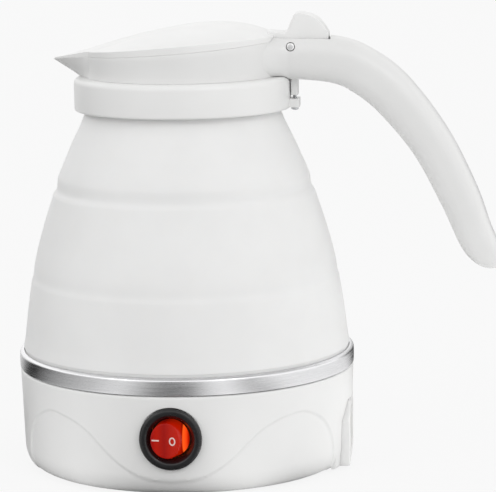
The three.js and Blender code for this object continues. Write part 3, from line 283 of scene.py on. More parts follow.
def rounded(corners, steps=4):
    """An outline whose corners, given as (x, y, reach), are eased by a curve of that reach."""
    outline = []
    for index, corner in enumerate(corners):
        here = np.array(corner[:2], float)
        if len(corner) < 3:
            outline.append(tuple(here))
            continue
        ends = []
        for other in (corners[index - 1], corners[(index + 1) % len(corners)]):
            way = np.array(other[:2], float) - here
            ends.append(here + way / np.linalg.norm(way) * corner[2])
        for share in np.linspace(0, 1, steps + 1):
            eased = (1 - share) ** 2 * ends[0] + 2 * share * (1 - share) * here + share**2 * ends[1]
            outline.append(tuple(eased))
    return outline


def quarter_arc(start, end, steps, leaves_sideways=True):
    """Points of a quarter ellipse from start to end, both included."""
    points = []
    for angle in np.linspace(0, math.pi / 2, steps + 1):
        near, far = math.sin(angle), 1 - math.cos(angle)
        along, up = (near, far) if leaves_sideways else (far, near)
        points.append((start[0] + (end[0] - start[0]) * along, start[1] + (end[1] - start[1]) * up))
    return points


def catmull(points, count):
    """A smooth curve through listed points, with so many points a span."""
    points = np.array(points, float)
    padded = np.vstack([2 * points[0] - points[1], points, 2 * points[-1] - points[-2]])
    curve = []
    for index in range(len(points) - 1):
        a, b, c, d = padded[index:index + 4]
        for share in np.arange(count) / count:
            curve.append(0.5 * (
                2 * b + (c - a) * share + (2 * a - 5 * b + 4 * c - d) * share**2
                + (3 * b - 3 * c + d - a) * share**3
            ))
    return np.array([*curve, points[-1]])


def new_tree(name, given, **sizes):
    """A geometry tree with a geometry and sizes as inputs: the tree, its inputs and where its result goes."""
    tree = bpy.data.node_groups.new(name, "GeometryNodeTree")
    tree.interface.new_socket(given, in_out="INPUT", socket_type="NodeSocketGeometry")
    for size, kind in sizes.items():
        tree.interface.new_socket(size, in_out="INPUT", socket_type="NodeSocket" + kind)
    tree.interface.new_socket("Finish", in_out="INPUT", socket_type="NodeSocketMaterial")
    tree.interface.new_socket("Shape", in_out="OUTPUT", socket_type="NodeSocketGeometry")
    start = node_in(tree, "NodeGroupInput")
    real = node_in(tree, "GeometryNodeRealizeInstances")
    paint = node_in(tree, "GeometryNodeSetMaterial", real, Material=start.outputs["Finish"])
    node_in(tree, "NodeGroupOutput", paint)
    return tree, start.outputs, real


def turning_tree():
    """Sweeps an outline round Z; the outline is drawn as (radius less core, minus height)."""
    tree, given, result = new_tree("turn_an_outline", "Outline", Columns="Int", Core="Float")
    outline = node_in(tree, "GeometryNodeMeshToCurve", given["Outline"])
    circle = node_in(
        tree, "GeometryNodeCurvePrimitiveCircle", Resolution=given["Columns"], Radius=given["Core"],
    )
    level = node_in(tree, "GeometryNodeSetCurveNormal", circle, mode="Z_UP")
    sweep = node_in(tree, "GeometryNodeCurveToMesh", level, Profile_Curve=outline)
    feed(result, node_in(tree, "GeometryNodeMergeByDistance", sweep, Distance=0.001 * mm))
    return tree


def run_tree(piece, tree, **values):
    """Runs a geometry tree on a piece with these inputs, and keeps its result as the plain mesh."""
    step = piece.modifiers.new(tree.name, "NODES")
    step.node_group = tree
    for item in tree.interface.items_tree:
        if item.name.replace(" ", "_") in values:
            step[item.identifier] = values[item.name.replace(" ", "_")]
    settle(piece)


def settle(piece):
    """Turns a piece with modifiers into its plain mesh."""
    seen = bpy.context.evaluated_depsgraph_get()
    mesh = bpy.data.meshes.new_from_object(piece.evaluated_get(seen))
    piece.modifiers.clear()
    piece.data = mesh


def ease_edges(piece, width, degrees=60):
    """Rounds a piece's sharper edges."""
    bevel = piece.modifiers.new("eased", "BEVEL")
    bevel.width, bevel.segments = width * mm, 3
    bevel.limit_method, bevel.angle_limit = "ANGLE", math.radians(degrees)
    settle(piece)
    return piece


def new_piece(name, corners, faces=(), edges=()):
    """A mesh object from corners in millimetres."""
    mesh = bpy.data.meshes.new(name)
    mesh.from_pydata([tuple(corner) for corner in np.array(corners, float) * mm], edges, faces)
    piece = bpy.data.objects.new(name, mesh)
    bpy.context.scene.collection.objects.link(piece)
    return piece


turn_an_outline = turning_tree()
core = 0.05


def turned(name, corners, columns=180, steps=4):
    """A piece swept round Z from [radius, height, reach] corners, closed on itself or on the axis."""
    outline = rounded(corners, steps)
    flat = [(radius - core, -height, 0) for radius, height in outline]
    on_axis = outline[0][0] == 0
    count = len(flat)
    edges = [(index, (index + 1) % count) for index in range(count - on_axis)]
    piece = new_piece(name, flat, edges=edges)
    run_tree(piece, turn_an_outline, Columns=columns, Core=core * mm)
    face_outwards(piece)
    return piece


def face_outwards(piece):
    """Points a closed mesh's faces outwards."""
    shape = bmesh.new()
    shape.from_mesh(piece.data)
    bmesh.ops.recalc_face_normals(shape, faces=shape.faces)
    shape.to_mesh(piece.data)
    shape.free()


def corners_of(piece):
    """A mesh's corners in millimetres, one row each."""
    corners = np.zeros(3 * len(piece.data.vertices))
    piece.data.vertices.foreach_get("co", corners)
    return corners.reshape(-1, 3) / mm


def move_corners(piece, corners):
    piece.data.vertices.foreach_set("co", (np.array(corners) * mm).ravel())
    piece.data.update()


def put(piece, matrix):
    """Moves a mesh itself, in millimetres, so that its object stays at the origin."""
    corners = corners_of(piece)
    matrix = np.array(matrix)
    move_corners(piece, corners @ matrix[:3, :3].T + matrix[:3, 3])
    if np.linalg.det(matrix[:3, :3]) < 0:
        face_outwards(piece)
    return piece


def combine(piece, operation, *others):
    """Joins, cuts or keeps what is common with other closed pieces, which are used up."""
    for other in others:
        step = piece.modifiers.new(operation, "BOOLEAN")
        step.operation, step.solver, step.object = operation, "MANIFOLD", other
    settle(piece)
    for other in others:
        bpy.data.objects.remove(other)
    return piece


def join(piece, *others):
    return combine(piece, "UNION", *others)


def cut(piece, *others):
    return combine(piece, "DIFFERENCE", *others)


def shift(piece, x=0, y=0, z=0):
    return put(piece, Matrix.Translation((x, y, z)))


def lay_along_y(piece, x=0, y=0, z=0):
    """Turns a piece made along Z to point towards -Y, and moves it."""
    return put(piece, Matrix.Translation((x, y, z)) @ Matrix.Rotation(math.pi / 2, 4, "X"))


def post(radius, bottom, top, x=0, y=0, columns=32):
    """A plain cylinder along Z, for joining and cutting."""
    return shift(turned("post", [(0, bottom), (radius, bottom), (radius, top), (0, top)], columns), x, y)


def on_circle(radius, degrees):
    return radius * math.cos(math.radians(degrees)), radius * math.sin(math.radians(degrees))


def posts_round(circle, angles, radius, bottom, top, columns=32):
    """Posts on a circle round Z, at angles in degrees."""
    return [post(radius, bottom, top, *on_circle(circle, angle), columns) for angle in angles]


def block(low, high):
    """A plain box between two corners."""
    (x0, y0, z0), (x1, y1, z1) = low, high
    corners = [(x, y, z) for x in (x0, x1) for y in (y0, y1) for z in (z0, z1)]
    faces = [(0, 1, 3, 2), (4, 6, 7, 5), (0, 4, 5, 1), (2, 3, 7, 6), (0, 2, 6, 4), (1, 5, 7, 3)]
    piece = new_piece("block", corners, faces)
    face_outwards(piece)
    return piece


def plate(outline, low, high, axis="x"):
    """A plate from an outline in the two axes across x, y or z, between two places along that axis."""
    count = len(outline)
    corners = []
    for place in (low, high):
        for u, v in outline:
            corners.append({"x": (place, u, v), "y": (u, place, v), "z": (u, v, place)}[axis])
    faces = [tuple(range(count)), tuple(range(count, 2 * count))]
    faces += [(i, (i + 1) % count, count + (i + 1) % count, count + i) for i in range(count)]
    piece = new_piece("plate", corners, faces)
    face_outwards(piece)
    return piece


def loft(name, sections, closes=False):
    """A closed skin over sections of equally many points; the ends are closed, or joined to each other."""
    count = len(sections[0])
    corners = [point for section in sections for point in section]
    faces = []
    for row in range(len(sections) - (not closes)):
        low, high = row * count, (row + 1) % len(sections) * count
        for column in range(count):
            after = (column + 1) % count
            faces.append((low + column, low + after, high + after, high + column))
    if not closes:
        faces += [tuple(range(count)), tuple(range(len(corners) - count, len(corners)))]
    piece = new_piece(name, corners, faces)
    face_outwards(piece)
    return piece


def new_finish(name, color, roughness, metallic=0.0):
    """A material, its shader and its Object coordinates, for a maker to add detail to."""
    material = bpy.data.materials.new(name)
    material.use_nodes = True
    shader = material.node_tree.nodes["Principled BSDF"]
    feed(shader, Base_Color=(*color, 1), Roughness=roughness, Metallic=metallic)
    return material, shader, node_in(material.node_tree, "ShaderNodeTexCoord").outputs["Object"]


def add_grain(shader, place, size, height):
    """Fine relief of a size and height in millimetres, as bump."""
    tree = shader.id_data
    noise = node_in(tree, "ShaderNodeTexNoise", Vector=place, Scale=1 / (size * mm), Detail=2.0)
    feed(shader, Normal=node_in(tree, "ShaderNodeBump", Height=noise, Distance=height * mm, Strength=1.0))


def vary(shader, place, name, low, high, size):
    """Lets one of a finish's numbers or colours wander between two values over a size in millimetres."""
    tree = shader.id_data
    noise = node_in(tree, "ShaderNodeTexNoise", Vector=place, Scale=1 / (size * mm), Detail=3.0)
    feed(shader, **{name: ramp_in(tree, [(0.35, low), (0.65, high)], noise)})


def make_white_plastic(name, painted_shade_scale=1.0):
    """Semi-gloss moulded polypropylene with a faint grain and slightly uneven gloss; a scale below 1 paints
    shade into its colour.
    """
    low, high = (0.79, 0.79, 0.783), (0.812, 0.812, 0.806)
    low, high = [tuple(part * painted_shade_scale for part in color) for color in (low, high)]
    material, shader, place = new_finish(name, low, 0.36)
    feed(shader, IOR=1.49)
    add_grain(shader, place, 0.55, 0.004)
    vary(shader, place, "Base_Color", low, high, 34)
    vary(shader, place, "Roughness", 0.33, 0.42, 9)
    return material


white_plastic = make_white_plastic("white_plastic")


def dress(piece, material, degrees=34):
    """Gives a piece its finish, and smooth shading that breaks at edges sharper than an angle."""
    piece.data.materials.clear()
    piece.data.materials.append(material)
    piece.data.shade_smooth()
    piece.data.set_sharp_from_angle(angle=math.radians(degrees))


def finish_piece(piece, material, slot, body, *nodes, degrees=34):
    """Dresses a piece and says which body it moves with and which solids it stands for."""
    dress(piece, material, degrees)
    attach(piece, body)
    if nodes:
        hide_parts(*nodes)


def housing_outline():
    foot = quarter_arc((base_foot_radius, 0), (base_side_radius, foot_round), foot_rows)
    side_top = base_height - lip_round
    side = [
        (base_side_radius + (base_top_radius - base_side_radius) * share,
         foot_round + (side_top - foot_round) * share)
        for share in np.linspace(0, 1, side_rows + 1)[1:]
    ]
    lip = quarter_arc((base_top_radius, side_top), (base_top_radius - lip_round, base_height), 5, False)[1:]
    inner_side = base_side_radius - base_wall
    inside = rounded([
        (recess_radius, base_height, 0.4),
        (recess_radius, deck_top, 0.6),
        (deck_opening, deck_top, 0.4),
        (deck_opening, deck_under, 0.4),
        (recess_radius, deck_under, 1.0),
        (inner_side, foot_round),
        (base_foot_radius - cover_rim, cover_thickness + gap),
        (base_foot_radius - cover_rim, 0),
    ], 2)
    return [*foot, *side, *lip, *inside]


def press_the_wave(housing):
    """Sets the outer wall below the wave back by the wave's depth, over a short ramp."""
    corners = corners_of(housing)
    radius = np.hypot(corners[:, 0], corners[:, 1])
    angle = np.degrees(np.arctan2(corners[:, 0], np.abs(corners[:, 1])))
    heights = corners[:, 2]
    wall_here = np.interp(heights, [0, foot_round], [base_foot_radius - 0.1, base_side_radius - 0.1])
    outer = (radius > wall_here) & (heights < base_height - 2)
    wave = catmull(wave_angles_and_heights, 12)
    along = np.radians(np.abs(angle)) * base_side_radius
    line = np.column_stack([np.radians(wave[:, 0]) * base_side_radius, wave[:, 1]])
    untouched = -9.0
    depth = np.full(len(corners), untouched)
    places = np.column_stack([along, heights])[outer]
    nearest = np.full(len(places), np.inf)
    for start, end in zip(line, line[1:]):
        way = end - start
        share = np.clip((places - start) @ way / (way @ way), 0, 1)
        nearest = np.minimum(nearest, np.linalg.norm(places - start - share[:, None] * way, axis=1))
    below = places[:, 1] < np.interp(places[:, 0], line[:, 0], line[:, 1], right=untouched)
    depth[outer] = np.where(below, nearest, -nearest)
    ramp = np.clip(depth / wave_width + 0.5, 0, 1)
    inward = wave_depth * ramp**2 * (3 - 2 * ramp)
    corners[:, :2] *= (1 - inward / radius)[:, None]
    move_corners(housing, corners)


def facing_switch(name, corners):
    """A piece swept about the switch's axis, from [radius, reach towards -Y, ease] corners."""
    return lay_along_y(turned(name, corners, 128, 8), z=switch_height)


def inlet_outline(half_width, bottom, top, chamfer=inlet_chamfer):
    return [
        (-half_width, bottom), (half_width, bottom), (half_width, top - chamfer),
        (half_width - chamfer, top), (chamfer - half_width, top), (-half_width, top - chamfer),
    ]


def make_housing():
    housing = turned("housing", housing_outline(), housing_columns)
    press_the_wave(housing)
    bosses = posts_round(boss_circle, boss_angles, boss_radius, boss_bottom, deck_under + 1)
    low, high = deck_under - overrun, deck_top + overrun
    holes = [
        *posts_round(boss_circle, boss_angles, boss_bore_radius, -overrun, boss_bore_top, 16),
        *posts_round(stud_circle, stud_angles, stud_radius + gap, low, high, 24),
    ]
    cheeks = []
    cheek_outer = base_side_radius - cheek_inset
    for side in (-1, 1):
        rim = turned("cheek", [
            (base_foot_radius - 3, 0.2), (cheek_outer - 0.3, 0.2, 0.8), (cheek_outer, cheek_top),
            (base_foot_radius - 1.5, cheek_top),
        ], 360)
        near, far = sorted((side * (inlet_half_width + gap - 1), side * cheek_outside))
        room = block((flange_front + 2 * gap, near, -1), (band_radius, far, cheek_top + 1))
        cheeks.append(combine(rim, "INTERSECT", room))
    join(housing, *bosses, *cheeks)
    reach = base_side_radius - base_wall - overrun
    holes.append(facing_switch("switch_hole", [
        (0, reach), (switch_body_radius + gap, reach), (switch_body_radius + gap, bezel_back - gap),
        (bezel_radius + gap, bezel_back - gap), (bezel_radius + gap, band_radius + overrun),
        (0, band_radius + overrun),
    ]))
    notch = inlet_outline(inlet_half_width + gap, -overrun, inlet_top + gap)
    holes.append(plate(notch, inlet_face - notch_depth, inlet_face + overrun))
    cut(housing, *holes)
    finish_piece(housing, white_plastic, "white_plastic", "base", "base_shell", degrees=28)


make_housing()

# Bottom cover: a white moulded plate that closes the housing from below, with a pad under each boss and
# sunk seats for the screws and the feet.
cover_radius = base_foot_radius - cover_rim - gap
pad_radius = 5.6
pad_top = 4.6
cover_field_radius = 21.5
cover_field_depth = 0.5
cover_bore_radius = 1.7
foot_radius = 6.0
foot_seat = 1.0
foot_circle = base_foot_radius - 14
foot_angles = (45, 135, 225, 315)
cover_head_radius = 3.2
cover_head_height = 1.8
cover_head_inset = 0.4


def make_cover():
    cover = turned("cover_plate", [
        (0, cover_field_depth), (cover_field_radius - 0.5, cover_field_depth, 0.2),
        (cover_field_radius, 0, 0.2), (cover_radius, 0, 0.7), (cover_radius, cover_thickness, 0.3),
        (0, cover_thickness),
    ], 240)
    join(cover, *posts_round(boss_circle, boss_angles, pad_radius, cover_thickness / 2, pad_top))
    seat_top = cover_head_inset + cover_head_height + gap
    cut(
        cover, *posts_round(boss_circle, boss_angles, cover_head_radius + gap, -overrun, seat_top),
        *posts_round(boss_circle, boss_angles, cover_bore_radius, -overrun, pad_top + overrun, 24),
        *posts_round(foot_circle, foot_angles, foot_radius + gap, -overrun, foot_seat, 48),
    )
    finish_piece(cover, white_plastic, "white_plastic", "base", "bottom_cover")


make_cover()

# Feet: four discs of soft grey rubber with a shallow hollow below, glued into the cover's seats.
foot_proud = 1.0
foot_hollow_radius = 3.7
foot_hollow_depth = 0.3


def circle_tree():
    """Sets copies of a piece round Z, each turned towards its own place."""
    tree, given, result = new_tree("set_round_a_circle", "Piece", Count="Int", Radius="Float", First="Float")
    index = node_in(tree, "GeometryNodeInputIndex")
    step = node_in(tree, "ShaderNodeMath", 2 * math.pi, given["Count"], operation="DIVIDE")
    angle = node_in(tree, "ShaderNodeMath", index, step, given["First"], operation="MULTIPLY_ADD")
    turn = node_in(tree, "ShaderNodeCombineXYZ", Z=angle)
    aside = node_in(tree, "ShaderNodeCombineXYZ", X=given["Radius"])
    moved = node_in(tree, "GeometryNodeTransform", Geometry=given["Piece"], Translation=aside)
    places = node_in(tree, "GeometryNodePoints", Count=given["Count"])
    feed(result, node_in(tree, "GeometryNodeInstanceOnPoints", places, Instance=moved, Rotation=turn))
    return tree


set_round_a_circle = circle_tree()


def set_round(piece, radius, angles):
    """Copies of a piece round Z, at evenly spaced angles in degrees."""
    run_tree(piece, set_round_a_circle, Count=len(angles), Radius=radius * mm, First=math.radians(angles[0]))


def numbered(name, count):
    return [f"{name}_{number}" for number in range(1, count + 1)]


def plain_finish(name, color, roughness, metallic=0.0, grain=(0.5, 0.004), spread=0.04, patch=9):
    """A finish with a fine grain whose colour and gloss wander a little over patches."""
    material, shader, place = new_finish(name, color, roughness, metallic)
    add_grain(shader, place, *grain)
    low, high = (tuple(min(1, part * scale) for part in color) for scale in (1 - spread, 1 + spread))
    vary(shader, place, "Base_Color", low, high, patch)
    vary(shader, place, "Roughness", roughness - 0.05, roughness + 0.06, patch / 3)
    return material


def make_feet():
    hollow = foot_hollow_depth - foot_proud
    feet = turned("rubber_feet", [
        (0, hollow), (foot_hollow_radius - 0.5, hollow, 0.2), (foot_hollow_radius, -foot_proud, 0.2),
        (foot_radius, -foot_proud, 0.6), (foot_radius, foot_seat - gap, 0.3), (0, foot_seat - gap),
    ], 64)
    set_round(feet, foot_circle, foot_angles)
    rubber = plain_finish("foot_rubber", (0.6, 0.6, 0.585), 0.8, grain=(0.3, 0.01))
    finish_piece(feet, rubber, "foot_rubber", "base", *numbered("foot", 4))


make_feet()

# Cover screws: three zinc-plated pan-head screws from below, through the cover into the bosses.
cover_screw_radius = 1.4
cover_screw_length = 14
zinc = plain_finish("zinc_steel", (0.62, 0.63, 0.65), 0.33, 1.0, grain=(0.12, 0.004), spread=0.08, patch=2)


def screw(head_radius, head_height, shaft_radius, length):
    """A screw that points up, with its head's face at 0, a cross recess and a thread."""
    pitch = 0.25 + 0.55 * shaft_radius
    neck, tip = head_height + 0.1, head_height + length
    thread_end = tip - shaft_radius
    rows = np.linspace(neck, thread_end, round((thread_end - neck) / pitch * 6))
    made = turned("screw", [
        *quarter_arc((0, 0), (head_radius, 0.65 * head_height), 8), (head_radius, head_height - 0.1),
        (head_radius - 0.1, head_height), *[(shaft_radius, row) for row in rows],
        (0.3 * shaft_radius, tip), (0, tip),
    ], 36)
    corners = corners_of(made)
    turns = np.arctan2(corners[:, 1], corners[:, 0]) / (2 * math.pi)
    rise = (corners[:, 2] - neck) / pitch
    threaded = (rise > 0.3) & (corners[:, 2] < thread_end + 0.01)
    corners[:, :2] *= (1 - 0.22 * threaded * np.abs(2 * ((rise - turns) % 1) - 1))[:, None]
    move_corners(made, corners)
    long, short, deep = 0.6 * head_radius, 0.13 * head_radius, 0.55 * head_height
    return cut(
        made, block((-long, -short, -1), (long, short, deep)),
        block((-short, -long, -1), (short, long, deep)),
    )


def make_cover_screws():
    screws = screw(cover_head_radius, cover_head_height, cover_screw_radius, cover_screw_length)
    shift(screws, z=cover_head_inset)
    screws.name = "cover_screws"
    set_round(screws, boss_circle, boss_angles)
    finish_piece(screws, zinc, "zinc_steel", "base", *numbered("cover_screw", 3))


make_cover_screws()

# Heating dish: turned and pressed stainless steel. Its rolled outer wall is the band that shows between
# the housing and the silicone, brushed round the axis, and its floor closes the kettle from below.
pan_radius = recess_radius - 0.7
pan_wall = 1.0
band_top = base_height + 7.1
band_lip_radius = band_radius - 1.8
pan_underside = deck_top + gap
pan_floor = pan_underside + pan_wall
pan_shoulder = base_height + 0.3
stud_length = 8.3


def make_brushed_steel():
    """Stainless steel brushed round the axis: fine streaks that follow the turning."""
    color, roughness = (0.74, 0.74, 0.75), 0.23
    streak_across, streak_along = 0.16, 14.0
    material, shader, place = new_finish("stainless", color, roughness, 1.0)
    tree = shader.id_data
    x, y, z = node_in(tree, "ShaderNodeSeparateXYZ", place).outputs
    flat = node_in(tree, "ShaderNodeCombineXYZ", x, y)
    reach = node_in(tree, "ShaderNodeVectorMath", flat, operation="LENGTH").outputs["Value"]
    across = node_in(tree, "ShaderNodeMath", reach, z, operation="ADD")
    stretched = [
        node_in(tree, "ShaderNodeMath", part, 1 / (streak * mm), operation="MULTIPLY")
        for part, streak in ((x, streak_along), (y, streak_along), (across, streak_across))
    ]
    where = node_in(tree, "ShaderNodeCombineXYZ", *stretched)
    noise = node_in(tree, "ShaderNodeTexNoise", Vector=where, Scale=1.0, Detail=4.0, Roughness=0.6)
    dull, bright = [tuple(min(1, part * scale) for part in color) for scale in (0.93, 1.05)]
    feed(
        shader, Normal=node_in(tree, "ShaderNodeBump", Height=noise, Distance=0.006 * mm, Strength=1.0),
        Roughness=ramp_in(tree, [(0.3, roughness - 0.06), (0.7, roughness + 0.1)], noise),
        Base_Color=ramp_in(tree, [(0.3, dull), (0.7, bright)], noise),
    )
    return material


brushed_steel = make_brushed_steel()


def make_dish():
    inner = band_radius - pan_wall
    band_middle = (pan_shoulder + band_top) / 2
    floor_radius = pan_radius - pan_wall
    outside = [
        (pan_radius - 1.4, pan_underside, 0.9), (pan_radius, pan_underside + 1.4, 0.9),
        (pan_radius, pan_shoulder, 0.4), (band_radius - 0.1, pan_shoulder, 0.55),
        (band_radius, band_middle, 1.5), (band_radius - 0.15, band_top - 0.8, 0.6),
        (band_lip_radius + 0.6, band_top - 0.1, 0.4), (band_lip_radius, band_top - 0.05, 0.05),
    ]
    inside = [
        (band_lip_radius, band_top - 0.65, 0.05), (inner - 0.25, band_top - 1.8, 0.5),
        (inner, band_middle), (inner, pan_shoulder + pan_wall, 0.5),
        (floor_radius, pan_shoulder + pan_wall, 0.4), (floor_radius, pan_floor + 1.4, 1.0),
        (floor_radius - 1.4, pan_floor, 1.0),
    ]
    ring = rounded([*outside, *inside], 5)
    dish = turned("steel_dish", [(0, pan_underside), *ring, (0, pan_floor)], 480)
    bottom, top = pan_underside - stud_length, pan_floor - pan_wall / 2
    join(dish, *posts_round(stud_circle, stud_angles, stud_radius, bottom, top, 24))
    finish_piece(dish, brushed_steel, "stainless", "base", "steel_pan")


make_dish()

# Dish nuts: three zinc-plated hexagon nuts on the dish's studs, which pull it down on the deck.
nut_radius = 3.3
nut_height = 3.0
nut_bore_radius = 1.95


def make_nuts():
    top = deck_under - gap
    low = top - nut_height
    flat, wide = 0.86 * nut_radius, nut_radius + 0.2
    nuts = post(nut_radius, low, top, columns=6)
    nuts.name = "dish_nuts"
    eased = turned("eased", [
        (0, low), (flat, low), (wide, low + 0.5), (wide, top - 0.5), (flat, top), (0, top),
    ], 48)
    combine(nuts, "INTERSECT", eased)
    cut(nuts, post(nut_bore_radius, low - overrun, top + overrun))
    set_round(nuts, stud_circle, stud_angles)
    finish_piece(nuts, zinc, "zinc_steel", "base", *numbered("pan_nut", 3))


make_nuts()

# Heat spreader: a cast aluminium disc pressed against the dish's underside.
spreader_top = pan_underside - gap
spreader_thickness = 4.6
spreader_under = spreader_top - spreader_thickness
spreader_radius = deck_opening - 2


def make_spreader():
    disc = turned("spreader_disc", [
        (0, spreader_under), (spreader_radius, spreader_under, 1.0), (spreader_radius, spreader_top, 0.5),
        (0, spreader_top),
    ])
    aluminium = plain_finish("cast_aluminium", (0.66, 0.67, 0.68), 0.52, 1.0, grain=(0.7, 0.02), spread=0.08)
    finish_piece(disc, aluminium, "cast_aluminium", "base", "heat_spreader")


make_spreader()

# Heating element: a sheathed tube bent into a ring under the spreader, dark from the heat, whose two
# cold ends turn down beside each other behind the switch.
element_radius = spreader_radius - 10
element_tube = 3.2
element_height = spreader_under - gap - element_tube
element_opening = 50
element_drop = 9
element_bend = 3.0


def path_tree():
    """Gives a path a round section."""
    tree, given, result = new_tree("follow_a_path", "Path", Radius="Float", Sides="Int")
    curve = node_in(tree, "GeometryNodeMeshToCurve", given["Path"])
    section = node_in(
        tree, "GeometryNodeCurvePrimitiveCircle", Resolution=given["Sides"], Radius=given["Radius"],
    )
    feed(result, node_in(tree, "GeometryNodeCurveToMesh", curve, Profile_Curve=section, Fill_Caps=True))
    return tree


follow_a_path = path_tree()


def tube(name, path, radius, sides=24):
    """A closed tube along a path."""
    piece = new_piece(name, path, edges=[(index, index + 1) for index in range(len(path) - 1)])
    run_tree(piece, follow_a_path, Radius=radius * mm, Sides=sides)
    face_outwards(piece)
    return piece


def element_leg(degrees, side):
    """One cold end, from its foot up and round the bend into the ring."""
    x, y = on_circle(element_radius, degrees)
    along_x, along_y = on_circle(side, degrees + 90)
    leg = [(x, y, element_height - element_drop)]
    for turn in np.linspace(0, math.pi / 2, 8):
        reach = element_bend * (1 - math.cos(turn))
        rise = element_height - element_bend * (1 - math.sin(turn))
        leg.append((x + along_x * reach, y + along_y * reach, rise))
    return leg


def make_element():
    first, last = 270 + element_opening / 2, 630 - element_opening / 2
    bend = math.degrees(element_bend / element_radius) + 1
    ring = [
        (*on_circle(element_radius, angle), element_height)
        for angle in np.linspace(first + bend, last - bend, 120)
    ]
    path = [*element_leg(first, 1), *ring, *element_leg(last, -1)[::-1]]
    element = tube("element_tube", path, element_tube)
    dark = (0.2, 0.19, 0.185)
    sheath = plain_finish("heater_sheath", dark, 0.42, 1.0, grain=(0.4, 0.006), spread=0.3, patch=7)
    finish_piece(element, sheath, "heater_sheath", "base", "heating_element")


make_element()

# Thermostat: the black capsule with the bimetal disc, in the middle of the spreader.
thermostat_x = -6
thermostat_radius = 8
thermostat_neck_radius = 5.5
thermostat_depths = (8.7, 6.5, 1.2)
black_nylon = plain_finish("black_nylon", (0.008, 0.008, 0.009), 0.32, grain=(0.35, 0.004), spread=0.15)


def make_thermostat():
    top = spreader_under - gap
    bottom, ledge, shoulder = [top - depth for depth in thermostat_depths]
    capsule = turned("thermostat_capsule", [
        (0, bottom), (thermostat_neck_radius, bottom, 0.5), (thermostat_neck_radius, ledge, 0.2),
        (thermostat_radius, ledge, 0.7), (thermostat_radius, shoulder, 0.2),
        (thermostat_radius - 0.4, shoulder, 0.2), (thermostat_radius - 0.4, top, 0.4), (0, top),
    ], 72)
    shift(capsule, thermostat_x)
    finish_piece(capsule, black_nylon, "black_plastic", "base", "thermostat")


make_thermostat()

# Thermal fuse: a ceramic barrel with grooved ends, clipped under the spreader.
fuse_radius = 2.6
fuse_groove_radius = fuse_radius - 0.3
fuse_length = 20
fuse_x = 12


def make_fuse():
    half = fuse_length / 2
    end = [
        (fuse_radius, half, 0.4), (fuse_radius, half - 2, 0.2), (fuse_groove_radius, half - 2.3, 0.2),
        (fuse_groove_radius, half - 2.8, 0.2), (fuse_radius, half - 3.1, 0.2),
    ]
    other_end = [(radius, -place, reach) for radius, place, reach in end]
    barrel = turned("fuse_barrel", [(0, -half), *other_end, *end[::-1], (0, half)], 48)
    lay_along_y(barrel, fuse_x, z=spreader_under - gap - fuse_radius)
    ceramic = plain_finish("ceramic", (0.78, 0.73, 0.64), 0.62, grain=(0.25, 0.008))
    finish_piece(barrel, ceramic, "ceramic", "base", "thermal_fuse")


make_fuse()

# Switch body: a round housing in black nylon, pushed into the wall from outside, whose rim is rounded
# and slopes into the mouth. Three slots in its back take the terminals.
bezel_front = bezel_back + 2.2
switch_rear = bezel_back - 15.5
mouth_radius = 8.1
mouth_depth = 11
terminal_places = (-6, 0, 6)
terminal_seat = 3.35
slot_half_width = 2.7
slot_half_height = 0.7


def make_switch_body():
    body = facing_switch("switch_housing", [
        (0, switch_rear), (switch_body_radius, switch_rear, 0.7), (switch_body_radius, bezel_back),
        (bezel_radius, bezel_back, 0.2), (bezel_radius, bezel_front, 1.5),
        (mouth_radius + 1.1, bezel_front, 0.9), (mouth_radius, bezel_front - 1.9, 0.3),
        (mouth_radius, bezel_front - mouth_depth, 0.5), (0, bezel_front - mouth_depth),
    ])
    cut(body, *[
        block(
            (x - slot_half_width, -switch_rear - terminal_seat, switch_height - slot_half_height),
            (x + slot_half_width, overrun - switch_rear, switch_height + slot_half_height),
        )
        for x in terminal_places
    ])
    finish_piece(body, black_nylon, "black_plastic", "base", "switch_body")


make_switch_body()

# Rocker: a round button in clear red plastic, with its left side pressed in, lit from behind by the lamp; its
# glow is painted onto it. Its face is a little hollow from side to side and carries the two printed marks.
rocker_tilt = math.radians(14)
rocker_reach = 6.2
rocker_half_width = 6.1
rocker_raised_share = 0.84
rocker_half_height = 6.7
rocker_hollow = 0.45
rocker_pivot_depth = 4.2
rocker_face_shares = (0.02, 0.25, 0.5, 0.75, 0.92, 0.97)
rocker_depths_and_half_sizes = [
    (0.06, 6.1, 6.7), (0.35, 6.2525, 6.834), (3.1, 6.65, 6.95), (6.2, 7.2, 7.2), (6.8, 7.15, 7.15),
    (8.6, 6.2, 6.2),
]
rocker_place = (
    Matrix.Translation((0, rocker_pivot_depth - bezel_front, switch_height))
    @ Matrix.Rotation(-rocker_tilt, 4, "Z")
)
lens_reach = 7.5
mark_line = 0.26
mark_depths = (0.1, -0.04)
mark_on_ends = (-5.6, -2.8)
mark_off_middle = 2.5
mark_off_half_sizes = (1.05, 1.35)


